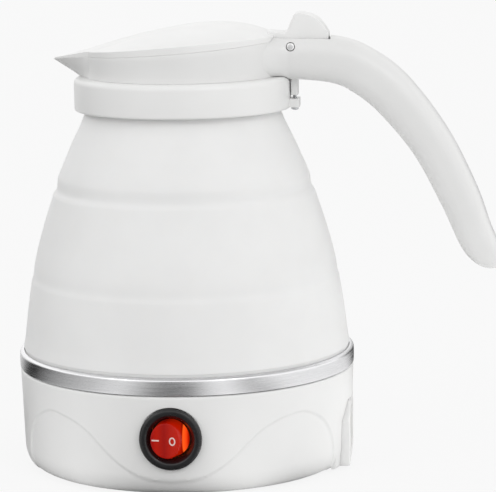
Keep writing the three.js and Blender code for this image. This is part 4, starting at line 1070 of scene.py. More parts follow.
def make_lens_with_painted_glow():
    """Red plastic with a painted glow: painted light along its raised side and painted shade down its middle.
    """
    material, shader, place = new_finish("red_lens", (0.26, 0.002, 0.0005), 0.16)
    tree = shader.id_data
    across = node_in(tree, "ShaderNodeSeparateXYZ", place).outputs["X"]
    share = node_in(tree, "ShaderNodeMapRange", across, From_Min=-lens_reach * mm, From_Max=lens_reach * mm)
    # Painted light and shade across the lens by X: brighter near its left edge, painted shade down its
    # middle, a painted dark line where the face meets the raised side and a bright painted glow along that
    # side.
    glow = ramp_in(tree, [
        (0.0, (0.05, 0.0, 0.0)), (0.08, (0.14, 0.002, 0.0)), (0.16, (0.2, 0.006, 0.0)),
        (0.36, (0.08, 0.001, 0.0)), (0.54, (0.2, 0.006, 0.0)), (0.76, (0.26, 0.008, 0.0)),
        (0.8, (0.1, 0.001, 0.0)), (0.83, (1.0, 0.12, 0.012)), (0.9, (0.85, 0.06, 0.006)),
        (0.95, (0.4, 0.008, 0.0)), (1.0, (0.12, 0.001, 0.0)),
    ], share)
    feed(shader, Emission_Color=glow, Emission_Strength=1.0, Specular_IOR_Level=0.2)
    add_grain(shader, place, 0.8, 0.004)
    vary(shader, place, "Roughness", 0.12, 0.22, 4)
    return material


def rocker_face(across):
    """Depth of the rocker's face at a place across it, in the rocker's own frame."""
    return rocker_hollow * (1 - (across / rocker_half_width) ** 2) - rocker_reach


def rocker_width(angle, spread=0.0):
    """Half width of the rocker's section at an angle; its face is drawn in on the raised side."""
    drawn_in = 1 - (1 - rocker_raised_share) * max(0, math.cos(angle)) * (1 - spread)
    return rocker_half_width * drawn_in * math.cos(angle)


def make_rocker():
    sections = []
    angles = np.linspace(0, 2 * math.pi, 96, endpoint=False)
    for share in rocker_face_shares:
        places = [(rocker_width(a) * share, rocker_half_height * share * math.sin(a)) for a in angles]
        sections.append([(across, rocker_face(across), up) for across, up in places])
    for depth, half_width, half_height in rocker_depths_and_half_sizes:
        spread = min(1, depth / rocker_reach)
        follow = max(0, 1 - 2 * depth / rocker_reach)
        section = []
        for a in angles:
            across = rocker_width(a, spread) * half_width / rocker_half_width
            face = follow * rocker_face(rocker_width(a)) - (1 - follow) * rocker_reach
            section.append((across, face + depth, half_height * math.sin(a)))
        sections.append(section)
    rocker = put(loft("rocker", sections), rocker_place)
    finish_piece(rocker, make_lens_with_painted_glow(), "red_lens", "rocker", "switch_rocker")


def make_mark(name, rails, closes):
    """A thin print that follows the rocker's face, from pairs of places across and up."""
    under, over = mark_depths
    sections = []
    for near, far in rails:
        line = [(*near, under), (*far, under), (*far, over), (*near, over)]
        sections.append([(across, rocker_face(across) + depth, up) for across, up, depth in line])
    mark = put(loft(name, sections, closes), rocker_place)
    finish_piece(mark, mark_with_painted_glow, "white_plastic", "rocker")


def mark_off_place(angle, aside):
    half_width, half_height = [half + aside for half in mark_off_half_sizes]
    return mark_off_middle + half_width * math.cos(angle), half_height * math.sin(angle)


# The white print is tinted pink: painted red glow from the lit lens.
mark_with_painted_glow = plain_finish("rocker_mark", (0.8, 0.62, 0.58), 0.4, spread=0.03, patch=1)
make_rocker()
make_mark("mark_on", [
    ((across, -mark_line), (across, mark_line)) for across in np.linspace(*mark_on_ends, 12)
], False)
make_mark("mark_off", [
    (mark_off_place(angle, -mark_line), mark_off_place(angle, mark_line))
    for angle in np.linspace(0, 2 * math.pi, 48, endpoint=False)
], True)

# Lamp: a small glass tube with rounded ends, behind the rocker.
lamp_radius = 1.6
lamp_length = 8


def make_lamp():
    half = lamp_length / 2
    lamp = turned("lamp_tube", [
        (0, -half), (lamp_radius, -half, 1.2), (lamp_radius, half, 1.2), (0, half),
    ], 32, 6)
    shift(lamp, 0, mouth_depth - bezel_front - gap - lamp_radius, switch_height)
    glass = plain_finish("lamp_glass", (1.0, 0.45, 0.2), 0.1, grain=(0.8, 0.002))
    feed(
        glass.node_tree.nodes["Principled BSDF"], Transmission_Weight=0.5,
        Emission_Color=(1.0, 0.3, 0.08, 1), Emission_Strength=1.5,
    )
    finish_piece(lamp, glass, "lamp_glass", "base", "switch_lamp")


make_lamp()

# Terminals: three bright brass blades in the switch's back, each with a hole and a bevelled end.
terminal_half_width = 2.4
terminal_half_thickness = 0.4
terminal_length = 8
terminal_rear = terminal_length - switch_rear
terminal_hole_radius = 0.8
terminal_hole_place = terminal_rear - 2.6
brass = plain_finish("terminal_brass", (0.68, 0.53, 0.27), 0.3, 1.0, grain=(0.2, 0.004), spread=0.08, patch=3)


def make_terminals():
    front = gap - switch_rear - terminal_seat
    blades, holes = [], []
    for x in terminal_places:
        left, right = x - terminal_half_width, x + terminal_half_width
        blades.append(plate([
            (left, front), (right, front), (right, terminal_rear - 1), (right - 1, terminal_rear),
            (left + 1, terminal_rear), (left, terminal_rear - 1),
        ], switch_height - terminal_half_thickness, switch_height + terminal_half_thickness, "z"))
        bottom, top = switch_height - overrun, switch_height + overrun
        holes.append(post(terminal_hole_radius, bottom, top, x, terminal_hole_place, 24))
    terminals = join(*blades)
    terminals.name = "switch_terminals"
    ease_edges(cut(terminals, *holes), 0.12)
    finish_piece(terminals, brass, "terminal_brass", "base", *numbered("switch_terminal", 3))


make_terminals()

# Mains inlet: a white moulded block in the housing's notch, with a flange that stands inside the wall
# and a deep socket for the plug. Three brass pins stand in the socket.
inlet_low = 0.4
inlet_depth = 4.6
flange_thickness = 3.2
flange_half_width = 22.5
socket_half_width = 12
socket_low = 4.6
socket_top = 21.0
socket_depth = 19
socket_floor = inlet_face - socket_depth
socket_wall = 2.2
socket_chamfers = (4, 4.2)
mouth_rim = 0.6
pin_places = {"live": (-7, 11.5), "neutral": (7, 11.5), "earth": (0, 15.4)}
pin_half_width = 1
pin_half_height = 2
pin_rear = socket_floor - socket_wall - 6
pin_front = socket_floor + 12.5


def inlet_plate(half_width, bottom, top, chamfer, reach, back, front):
    """A plate with the inlet's outline, its corners eased, between two places along X."""
    outline = inlet_outline(half_width, bottom, top, chamfer)
    return plate(rounded([(*corner, reach) for corner in outline]), back, front)


def pin_at(place, back, front, room=0):
    """A flat pin along X at a place in Y and Z, or with room about it, the shape of its hole."""
    half = np.array([pin_half_width + room, pin_half_height + room])
    return block((back, *(place - half)), (front, *(place + half)))


def make_inlet():
    inlet = inlet_plate(
        inlet_half_width, inlet_low, inlet_top, inlet_chamfer, 0.6, inlet_face - inlet_depth, inlet_face,
    )
    ease_edges(inlet, 0.5)
    flange = block(
        (flange_front - flange_thickness, -flange_half_width, foot_round),
        (flange_front, flange_half_width, inlet_top - inlet_chamfer),
    )
    box = inlet_plate(
        socket_half_width + socket_wall, cover_thickness + gap, socket_top + socket_wall, socket_wall + 1,
        0.6, socket_floor - socket_wall, inlet_face - inlet_depth / 2,
    )
    cuts = []
    backs = (socket_floor, inlet_face - mouth_rim)
    for wider, chamfer, back in zip((0, mouth_rim), socket_chamfers, backs):
        cuts.append(inlet_plate(
            socket_half_width + wider, socket_low - wider, socket_top + wider, chamfer, 0.8, back,
            inlet_face + overrun,
        ))
    for place in pin_places.values():
        cuts.append(pin_at(place, socket_floor - socket_wall - overrun, socket_floor + overrun, gap))
    cut(join(inlet, flange, box), *cuts)
    inlet.name = "mains_inlet"
    finish_piece(inlet, white_plastic, "white_plastic", "base", "inlet_socket")


def make_pins():
    for name, place in pin_places.items():
        pin = pin_at(place, pin_rear, pin_front)
        pin.name = "pin_" + name
        finish_piece(ease_edges(pin, 0.35), brass, "terminal_brass", "base", "inlet_pin_" + name)


make_inlet()
make_pins()

# Wires: five insulated wires, soldered from one terminal to the next.
wire_radius = 1.1
wire_colors = {"red": (0.36, 0.022, 0.014), "blue": (0.03, 0.1, 0.37), "green": (0.1, 0.3, 0.03)}


def between(start, end, drop):
    """The middle between two places, lowered."""
    return ((start[0] + end[0]) / 2, (start[1] + end[1]) / 2, (start[2] + end[2]) / 2 - drop)


def make_wires():
    seat = gap + wire_radius
    live, neutral = [(pin_rear - seat, *pin_places[name]) for name in ("live", "neutral")]
    left, right = [(x, terminal_rear + seat, switch_height) for x in (terminal_places[0], terminal_places[2])]
    cold_left, cold_right = [
        (*on_circle(element_radius, 270 + side * element_opening / 2), element_height - element_drop - seat)
        for side in (-1, 1)
    ]
    fuse_near, fuse_far = [
        (fuse_x, side * (fuse_length / 2 - fuse_radius), spreader_under - gap - 2 * fuse_radius - seat)
        for side in (1, -1)
    ]
    floor_way = (spreader_radius / 2, terminal_rear + 2 * seat, pad_top + 2 * seat)
    stud = (stud_circle - stud_radius, 0, pan_underside - stud_length - seat)
    earth = (pin_rear + 3, 0, pin_places["earth"][1] + pin_half_height + gap)
    insulation = {}
    for name, color in wire_colors.items():
        insulation[name] = plain_finish("wire_" + name, color, 0.5, grain=(0.3, 0.006))
    for name, color, route in (
        ("live", "red", [live, floor_way, right]),
        ("switched", "red", [left, between(left, cold_left, 4 * wire_radius), cold_left]),
        ("neutral", "blue", [neutral, between(neutral, fuse_near, wire_radius), fuse_near]),
        ("fused", "blue", [fuse_far, between(fuse_far, cold_right, 4 * wire_radius), cold_right]),
        ("earth", "green", [earth, (earth[0], 0, stud[2]), stud]),
    ):
        wire = tube("lead_" + name, catmull(route, 14), wire_radius, 20)
        finish_piece(wire, insulation[color], "wire_" + color, "base", "wire_" + name)


make_wires()

# Silicone body: one soft moulding between the steel band and the collar, held by a bead at each end.
# Its outer face is grooved at two thin fold lines.
silicone_wall = 2.2
body_bottom = band_top + 1.1
body_height = 93.6
body_top = body_bottom + body_height
body_top_radius = 38.0
lower_fold = body_bottom + 29.5
upper_fold = lower_fold + 34.3
fold_half = 3.0
fold_groove_depths = (0.3, 0.75)
body_rows = 110
bead_outer = band_radius - pan_wall - 0.5
bead_inner = bead_outer - 4.2
neck_bead = body_top_radius + 1.9
collar_bottom = body_top - 0.2
collar_lip = 2.0
collar_height = 13.0
collar_top = collar_bottom + collar_height
collar_roof = 2.2
bead_bottom = collar_bottom + collar_lip + gap
bead_top = bead_bottom + 2.8
body_heights_and_radii = [
    (46.6, 64.9), (50.9, 64.2), (55.8, 63.6), (60.6, 63.0), (65.4, 62.3), (70.3, 61.5), (75.1, 60.7),
    (79.9, 59.7), (84.7, 58.6), (89.5, 57.3), (94.3, 55.9), (99.0, 54.4), (103.8, 52.8), (108.6, 51.3),
    (113.5, 49.8), (117.5, 48.2), (121.5, 46.4), (125.2, 44.8), (129.9, 42.6), (134.6, 40.3), (140.2, 38.0),
]


def fold_depth(height):
    """How deep the outer face is drawn in at a height, by its two folding grooves."""
    depth = 0
    for middle, deepest in zip((lower_fold, upper_fold), fold_groove_depths):
        share = (height - (middle - fold_half)) / (2 * fold_half)
        if 0 < share < 1:
            depth += deepest * min(1, share / 0.18) * min(1, (1 - share) / 0.6)
    return depth


def smooth_radius(height):
    """Radius of the body's outer face at a height, without its grooves."""
    return float(np.interp(height, smooth_body[:, 0], smooth_body[:, 1]))


smooth_body = catmull(body_heights_and_radii, 8)


def make_silicone():
    """Food-grade silicone: matte, soft-edged and slightly translucent."""
    material, shader, place = new_finish("silicone", (0.8, 0.8, 0.79), 0.5)
    feed(shader, Subsurface_Weight=0.3, Subsurface_Radius=(1.0, 0.95, 0.9), Subsurface_Scale=2.5 * mm)
    feed(shader, IOR=1.41)
    add_grain(shader, place, 0.8, 0.006)
    vary(shader, place, "Base_Color", (0.795, 0.795, 0.79), (0.815, 0.815, 0.81), 22)
    vary(shader, place, "Roughness", 0.46, 0.56, 12)
    return material


silicone = make_silicone()


def make_body():
    heights = np.linspace(body_bottom, body_top, body_rows + 1)
    outer = [(smooth_radius(height) - fold_depth(height), height) for height in heights]
    inner = [(smooth_radius(height) - silicone_wall, height) for height in heights[::2]][::-1]
    seat = pan_shoulder + pan_wall + gap
    neck = band_lip_radius - gap
    low_bead = rounded([
        (bead_inner, body_bottom, 0.4), (bead_inner, seat, 0.5), (bead_outer, seat, 0.5),
        (bead_outer, seat + 1.7, 0.5), (neck, seat + 3.4, 0.3), (neck, body_bottom - 0.1),
    ])
    high_bead = rounded([
        (body_top_radius, bead_bottom, 0.15), (neck_bead, bead_bottom, 0.4), (neck_bead, bead_top, 0.4),
        (body_top_radius - silicone_wall, bead_top, 0.4),
    ])
    body = turned("silicone_body", [*low_bead, *outer, *high_bead, *inner], 360)
    dress(body, silicone, 50)
    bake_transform(body)
    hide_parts("silicone_lower_band", "silicone_fold_band", "silicone_upper_band")


make_body()

# Body clamp ring: a thin rolled ring of stainless steel in the dish, which presses the silicone's lower
# bead against the band.
def make_body_clamp():
    outer, low = bead_inner - gap, pan_floor + gap
    ring = turned("body_clamp", [
        (outer - 1, low, 0.3), (outer, low, 0.3), (outer, body_bottom, 0.35), (outer - 1, body_bottom, 0.35),
    ], 240)
    finish_piece(ring, brushed_steel, "stainless", "base", "body_clamp_ring")


make_body_clamp()

# Neck clamp ring: a white moulded ring inside the collar, whose flange holds the silicone's upper bead.
def make_neck_clamp():
    outer = body_top_radius - silicone_wall - gap
    inner = outer - 2
    flange = bead_top + gap
    top = collar_top - collar_roof - gap
    ring = turned("neck_clamp", [
        (inner, body_top - 1.7, 0.5), (outer, body_top - 1.7, 0.4), (outer, flange), (neck_bead, flange, 0.3),
        (neck_bead, flange + 2.2, 0.3), (outer, flange + 2.2), (outer, top, 0.3), (inner, top, 0.3),
    ], 240)
    finish_piece(ring, white_plastic, "white_plastic", "top", "neck_clamp_ring")


make_neck_clamp()

# Collar: the white ring that takes the silicone's upper bead, with a lug at the rear. The handle's
# post stands over the lug, and one small screw from below holds the two together.
collar_radius = body_top_radius + 4.6
collar_wall = 2.3
collar_mouth = 33.0
lug_reach = collar_radius + 3.6
lug_bottom = collar_bottom + 0.5
lug_top = collar_bottom + 3.8
lug_half_width = 5
lug_hole_radius = 1.05
lug_screw_top = collar_bottom + 10
post_start = collar_radius + gap
post_end = post_start + 2.7
post_middle = (post_start + post_end) / 2


def make_collar():
    lip = body_top_radius + gap
    lip_top = collar_bottom + collar_lip
    inner = collar_radius - collar_wall
    collar = turned("top_collar", [
        (lip, collar_bottom, 0.2), (collar_radius, collar_bottom, 1.0), (collar_radius, collar_top, 2.6),
        (collar_mouth, collar_top, 0.3), (collar_mouth, collar_top - collar_roof, 0.3),
        (inner, collar_top - collar_roof, 0.6), (inner, lip_top, 0.3), (lip, lip_top, 0.2),
    ], 360, 6)
    lug = plate(rounded([
        (inner, -lug_half_width), (lug_reach, -lug_half_width, 0.8), (lug_reach, lug_half_width, 0.8),
        (inner, lug_half_width),
    ]), lug_bottom, lug_top, "z")
    hole = post(lug_hole_radius, collar_bottom - overrun, lug_top + overrun, post_middle)
    cut(join(collar, lug), hole)
    finish_piece(collar, white_plastic, "white_plastic", "top", "collar")


make_collar()

# Pouring ring, beak and handle: one white moulding. The ring stands on the collar and its rim slopes
# down to the beak; the handle leaves it behind as two flanks with a slot for the lid's tail between
# them, and closes into one arm. Below the slot a short post reaches down to the collar's lug.
# The plastic of this moulding is painted a trace darker than that of the others, as painted shade.
ring_radius = 37.3
ring_wall = 2.2
seam = 0.03
ring_bottom = collar_top + seam
skirt_radius = collar_mouth - gap
skirt_bottom = collar_top - 7
rim_height = collar_top + 11.1
rim_tilt = math.radians(4.26)
beak_reach = 50.8
beak_foot_reach = 40.4
beak_half_angle = 20
beak_wall = 3.0
foot_flare = 0.35
beak_tip_drop = 0.4
ring_wall_shares = (0, 0.03, 0.06, 0.1, 0.15, 0.2, 0.3, 0.45, 0.6, 0.8, 1)
handle_root = (34.3, rim_height - 4.2)
handle_length = 92.7
handle_drop = 84
handle_thickness = 18.2
handle_width = 22
handle_squareness = 2.9
handle_end_round = 15
handle_shares = [
    (0.0, 0.0, 0.93, 1.0), (0.115, 0.0, 0.94, 1.0), (0.279, 0.013, 1.0, 1.0), (0.393, 0.062, 1.0, 1.0),
    (0.522, 0.173, 0.99, 1.0), (0.679, 0.393, 0.915, 0.98), (0.798, 0.645, 0.87, 0.95),
    (0.884, 0.87, 0.78, 0.9), (0.975, 0.985, 0.78, 0.86),
]
fairing_places_and_half_widths = [
    (30.5, 20.6), (33.0, 17.3), (34.5, 15.7), (36.5, 13.8), (39, 12.2), (42, 11.1), (44, 11),
]
fairing_end = fairing_places_and_half_widths[-1][0]
root_overlap = 3.8
handle_steps = 110
handle_crowding = 0.85
handle_sides = 64
hinge_x = ring_radius + 6
hinge_height = rim_height + 0.5
hinge_pin_radius = 1.5
hinge_bore_radius = hinge_pin_radius + 0.25
fork_half_width = 7.1
fork_start = ring_radius + 1.1
fork_swing = 15.6
fork_floor = collar_top + 0.4
hollow_half_width = 6.2
hollow_start, hollow_end = 0.36, 0.86
hollow_floor_share = 0.24
grip_boss_share = 0.66
grip_boss_radius = 2.6
grip_bore_radius = 1.35
grip_bore_depth = 9.5
grip_head_radius = 2.2
grip_head_height = 1.2
grip_cover_sink = 0.2
grip_cover_thickness = 2.2
grip_screw_shares = (0.44, 0.78)
post_half_width = 4
post_bottom = collar_bottom + 5.2
# Painted shade: the same white plastic, darkened for the ring and the handle.
handle_plastic = make_white_plastic("handle_plastic", 0.93)


def rim_at(x):
    """Height of the tilted rim plane."""
    return rim_height + x * math.tan(rim_tilt)


def beaked_rim(x):
    """Height of the rim, which drops along the beak."""
    return rim_at(x) - beak_tip_drop * max(0, -ring_radius - x) / (beak_reach - ring_radius)


def beaked(radius, reach, columns):
    """A circle with a pointed beak towards -X, as points in X and Y."""
    half = math.radians(beak_half_angle)
    root = np.array([radius * math.cos(half), radius * math.sin(half)])
    points = []
    for angle in np.linspace(0, 2 * math.pi, columns, endpoint=False):
        off = abs(angle - math.pi)
        if off >= half or reach * math.cos(half) <= radius:
            length = radius
        else:
            length = reach * root[1] / (math.cos(off) * root[1] - math.sin(off) * (root[0] - reach))
        points.append((length * math.cos(angle), length * math.sin(angle)))
    return points


def make_ring(columns=432):
    """The ring with its beak, its skirt into the collar and its eased rim."""
    def level(radius, height, reach=None):
        return [(x, y, height) for x, y in beaked(radius, reach or radius, columns)]

    def sloping(radius, reach, drop=0):
        return [(x, y, beaked_rim(x) - drop) for x, y in beaked(radius, reach, columns)]

    inner = ring_radius - ring_wall
    skirt_inner = skirt_radius - 1.7
    web_top = ring_bottom + 2.2
    foot = level(ring_radius, ring_bottom + 0.06, beak_foot_reach)
    top = sloping(ring_radius, beak_reach, 0.12)
    wall = []
    for share in ring_wall_shares:
        flare = 1 + foot_flare * (1 - share) ** 6 / ring_radius
        level_here = [np.array(a) * (1 - share) + np.array(b) * share for a, b in zip(foot, top)]
        wall.append([(x * flare, y * flare, z) for x, y, z in level_here])
    sections = [
        level(ring_radius + foot_flare - 0.06, ring_bottom, beak_foot_reach - 0.1),
        *wall,
        sloping(ring_radius - 0.04, beak_reach - 0.05, 0.04),
        sloping(ring_radius - 0.12, beak_reach - 0.15),
        sloping(inner + 0.4, beak_reach - beak_wall + 0.5),
        sloping(inner + 0.1, beak_reach - beak_wall + 0.1, 0.12),
        sloping(inner, beak_reach - beak_wall, 0.4),
        level(inner, web_top + 0.5),
        level(inner - 0.5, web_top),
        level(skirt_inner + 0.6, web_top),
        level(skirt_inner, web_top - 0.6),
        level(skirt_inner, skirt_bottom + 0.3),
        level(skirt_inner + 0.3, skirt_bottom),
        level(skirt_radius - 0.3, skirt_bottom),
        level(skirt_radius, skirt_bottom + 0.3),
        level(skirt_radius, ring_bottom),
    ]
    return loft("pouring_ring_and_handle", sections, closes=True)


handle_line = catmull([
    (handle_root[0] + handle_length * along, handle_root[1] - handle_drop * drop, thick, wide)
    for along, drop, thick, wide in handle_shares
], 40)


def handle_at(share):
    """On the handle at a share of its length: middle, outward direction, half thickness, half width."""
    place = share * (len(handle_line) - 1)
    before = min(int(place), len(handle_line) - 2)
    part = place - before
    point = handle_line[before] * (1 - part) + handle_line[before + 1] * part
    low, high = max(0, before - 3), min(len(handle_line) - 1, before + 4)
    along = handle_line[high][:2] - handle_line[low][:2]
    along /= np.linalg.norm(along)
    outward = np.array([-along[1], along[0]])
    fairing = np.interp(point[0], *np.transpose(fairing_places_and_half_widths))
    half_width = max(handle_width / 2 * point[3], fairing if point[0] < fairing_end else 0)
    return point[:2], outward, handle_thickness / 2 * point[2], half_width


def handle_point(middle, outward, out, across):
    return middle[0] + outward[0] * out, across, middle[1] + outward[1] * out


def squared(value):
    return math.copysign(abs(value) ** (2 / handle_squareness), value)


def handle_section(middle, outward, half, half_width):
    """The handle's rounded section about a place of its middle line."""
    section = []
    for side in range(handle_sides):
        angle = 2 * math.pi * side / handle_sides
        out, across = half * squared(math.cos(angle)), half_width * squared(math.sin(angle))
        section.append(handle_point(middle, outward, out, across))
    return section


def make_arm():
    """The handle's skin; its first section is drawn back into the ring's wall."""
    middle, outward, half, _ = handle_at(0)
    root = (middle[0] - root_overlap, middle[1])
    sections = [handle_section(root, outward, half, fairing_places_and_half_widths[0][1])]
    for step in range(handle_steps + 1):
        middle, outward, half, half_width = handle_at((step / handle_steps) ** handle_crowding)
        left = np.linalg.norm(middle - handle_line[-1][:2]) / handle_end_round
        fullness = math.sqrt(1 - (1 - min(1, max(0.01, left))) ** 2)
        sections.append(handle_section(middle, outward, half * fullness, half_width * fullness))
    return loft("arm", sections)


def grip_strip(name, first, last, reaches, half_width, steps=48, edge=0.0):
    """A strip along the handle between two shares of its length, whose reaches follow its thickness."""
    sections = []
    for share in np.linspace(first, last, steps + 1):
        middle, outward, half, _ = handle_at(share)
        low, high = reaches(half)
        outline = [
            (low, -half_width + edge), (low, half_width - edge), (low + edge, half_width),
            (high, half_width), (high, -half_width), (low + edge, -half_width),
        ] if edge else [(low, -half_width), (low, half_width), (high, half_width), (high, -half_width)]
        sections.append([handle_point(middle, outward, out, across) for out, across in outline])
    return loft(name, sections)


def grip_post(share, radius, first, last):
    """A cylinder square to the handle at a share of its length, from one reach to another."""
    return lay_on_grip(post(radius, first, last), share)


def lay_on_grip(piece, share):
    """Turns a piece made along Z square to the handle, and moves it to a share of its length."""
    middle, outward, *_ = handle_at(share)
    turn = Vector((0, 0, 1)).rotation_difference(Vector((outward[0], 0, outward[1]))).to_matrix().to_4x4()
    return put(piece, Matrix.Translation((middle[0], 0, middle[1])) @ turn)


def grip_face(share):
    """How far from the handle's middle line the cover's face lies, towards the fingers."""
    return grip_cover_sink - handle_at(share)[2]


def across_hinge(radius, half_length, columns=48):
    """A cylinder on the hinge's axis."""
    return lay_along_y(post(radius, -half_length, half_length, columns=columns), hinge_x, 0, hinge_height)


def rim_cut():
    """Everything above the rim inside the ring's outline, which the lid needs."""
    radius = ring_radius + 2 * seam
    sections = []
    for height in (0, handle_thickness):
        sections.append([(x, y, rim_at(x) + height) for x, y in beaked(radius, radius, 180)])
    return loft("rim_cut", sections)


def collar_space():
    """The collar's own outline with its eased shoulder, and a seam's width all round."""
    return turned("collar_space", [
        (0, collar_top - 25), (collar_radius + gap, collar_top - 25),
        (collar_radius + gap, collar_top + gap, 2.8), (0, collar_top + gap),
    ], 240, 6)


def make_handle_frame():
    arm = make_arm()
    high = hinge_height + handle_thickness
    middle_of_wall = ring_radius - ring_wall / 2
    swing = across_hinge(fork_swing, fork_half_width, 160)
    combine(swing, "INTERSECT", block(
        (fork_start, -handle_width, fork_floor), (hinge_x + handle_width, handle_width, high),
    ))
    slot_end = hinge_x + 9
    slot = plate(rounded([
        (fork_start, -fork_half_width, 0.5), (slot_end, -fork_half_width),
        (slot_end, fork_half_width), (fork_start, fork_half_width, 0.5),
    ], 6), fork_floor, high, "z")
    mouth = block(
        (middle_of_wall, -fork_half_width, rim_at(ring_radius)), (fork_start + 2, fork_half_width, high),
    )
    hollow = grip_strip(
        "hollow", hollow_start, hollow_end, lambda half: (-half - overrun, half * hollow_floor_share),
        hollow_half_width,
    )
    inside_the_ring = post(
        middle_of_wall, collar_top - overrun, rim_height + handle_thickness, columns=216,
    )
    cut(arm, inside_the_ring, swing, rim_cut(), collar_space(), slot, mouth, hollow)
    for share in grip_screw_shares:
        face = grip_face(share)
        top = handle_at(share)[2] * grip_boss_share
        join(arm, grip_post(share, grip_boss_radius, face + 2.5, top))
        cut(arm, grip_post(share, grip_bore_radius, face - overrun, face + grip_bore_depth))
    corners = [
        (x, side * post_half_width, 0.6)
        for x, side in ((post_start, -1), (post_end, -1), (post_end, 1), (post_start, 1))
    ]
    root_post = plate(rounded(corners), post_bottom, handle_root[1] - handle_thickness / 4, "z")
    ring = make_ring()
    join(ring, arm, root_post)
    screw_hole = post(lug_hole_radius, lug_bottom, lug_screw_top + gap, post_middle)
    cut(ring, screw_hole, across_hinge(hinge_bore_radius, handle_width))
    finish_piece(ring, handle_plastic, "white_plastic", "top", "handle_frame", degrees=30)


make_handle_frame()

# Collar screw: one small screw from below, through the collar's lug into the handle's post.
def make_collar_screw():
    head_height = 1.2
    head_top = lug_bottom - gap
    made = screw(1.5, head_height, 0.8, lug_screw_top - head_top)
    shift(made, post_middle, 0, head_top - head_height)
    made.name = "lug_screw"
    finish_piece(made, zinc, "zinc_steel", "top", "collar_screw")


make_collar_screw()

# Handle cover: the white strip that closes the hollow of the handle from the finger side, held by two
# sunk screws.
def make_handle_cover():
    clear = 0.0024
    cover = grip_strip(
        "grip_cover", hollow_start + 2 * clear, hollow_end - 2 * clear,
        lambda half: (grip_cover_sink - half, grip_cover_sink + grip_cover_thickness - half),
        hollow_half_width - gap, 72, 0.5,
    )
    holes = []
    for share in grip_screw_shares:
        face = grip_face(share)
        back = face + grip_cover_thickness
        holes.append(grip_post(share, grip_head_radius + gap, face - overrun, face + grip_head_height + gap))
        holes.append(grip_post(share, grip_bore_radius, face - overrun, back + overrun))
    cut(cover, *holes)
    finish_piece(cover, handle_plastic, "white_plastic", "top", "handle_cover")


def make_handle_cover_screws():
    for number, share in enumerate(grip_screw_shares, 1):
        made = screw(grip_head_radius, grip_head_height, shaft_radius=1.1, length=8)
        shift(made, z=grip_face(share))
        made.name = f"grip_screw_{number}"
        finish_piece(lay_on_grip(made, share), zinc, "zinc_steel", "top", f"handle_cover_screw_{number}")


make_handle_cover()
make_handle_cover_screws()

# Lid cover: a thin white dome that lies on the sloping rim and reaches over the beak. Its tail runs
# back between the handle's flanks to the hinge pin and carries the thumb tab.
lid_inset = seam
lid_edge = 1.9
lid_edge_swell = 0.85
lid_tip_share = 0.2
lid_dome_height = 8.9
lid_dome_forward = 10
lid_wall = 1.8
lid_beak_reach = beak_reach - 0.3
lid_beak_hollow = 0.65
lid_dome_power = 2.2
lid_rings = 34
lid_seal_radius = ring_radius - ring_wall - 0.4
lid_plate_radius = lid_seal_radius - 1.7
lid_plate_top = 4.0
lid_plate_thickness = 1.6
lid_boss_circle = lid_plate_radius - 12
lid_boss_angles = boss_angles
lid_boss_radius = 3.2
lid_boss_top = 4.4
lid_boss_bore_radius = 1.45
lid_boss_bore_top = 3.1
lid_plate_hole_radius = 1.5
lid_skirt_wall = 2.6
lid_skirt_depth = 1.4
tab_height = 12.9
tail_half_width = 6.7
tail_ease = 1.1
tab_ease = 0.35
tail_outline_shares = [
    (-0.72, 0.22), (-0.33, 0.2), (-0.3, -0.1), (-0.16, -0.26), (0.1, -0.27), (0.29, -0.12), (0.36, 0.1),
    (1.125, 0.195), (1.13, 0.36), (1.01, 0.57), (0.84, 0.78), (0.64, 0.9), (0.31, 1.0), (0.11, 0.99),
    (0.0, 0.75), (-0.15, 0.39), (-0.72, 0.45),
]


def on_rim(piece):
    """Turns a piece made on a level rim into the sloping rim."""
    return put(piece, Matrix.Translation((0, 0, rim_height)) @ Matrix.Rotation(-rim_tilt, 4, "Y"))


def lid_edge_at(x, y):
    """How tall the lid's side is: tallest in front and at the back, and fading out along the beak."""
    beyond = max(0, -ring_radius - x) / (lid_beak_reach - ring_radius)
    return (lid_edge + lid_edge_swell * y * y / (x * x + y * y)) * (1 - (1 - lid_tip_share) * beyond)


def lid_top_at(share, x, y):
    """How high the lid's top lies over the rim: a round dome that falls off hollow towards the beak."""
    edge = lid_edge_at(x, y)
    ahead = max(0, lid_dome_forward - x) / math.hypot(x - lid_dome_forward, y)
    fall = 1 - share**lid_dome_power
    return edge + (lid_dome_height - edge) * fall ** (1 + lid_beak_hollow * ahead**2)


def lid_ring(share, height, columns=360):
    """The lid's outline drawn in to a share about the crown, at a height over the rim."""
    points = []
    for x, y in beaked(ring_radius - lid_inset, lid_beak_reach, columns):
        inward = lid_dome_forward + (x - lid_dome_forward) * share
        points.append((inward, y * share, beaked_rim(inward) + height(share, x, y)))
    return points


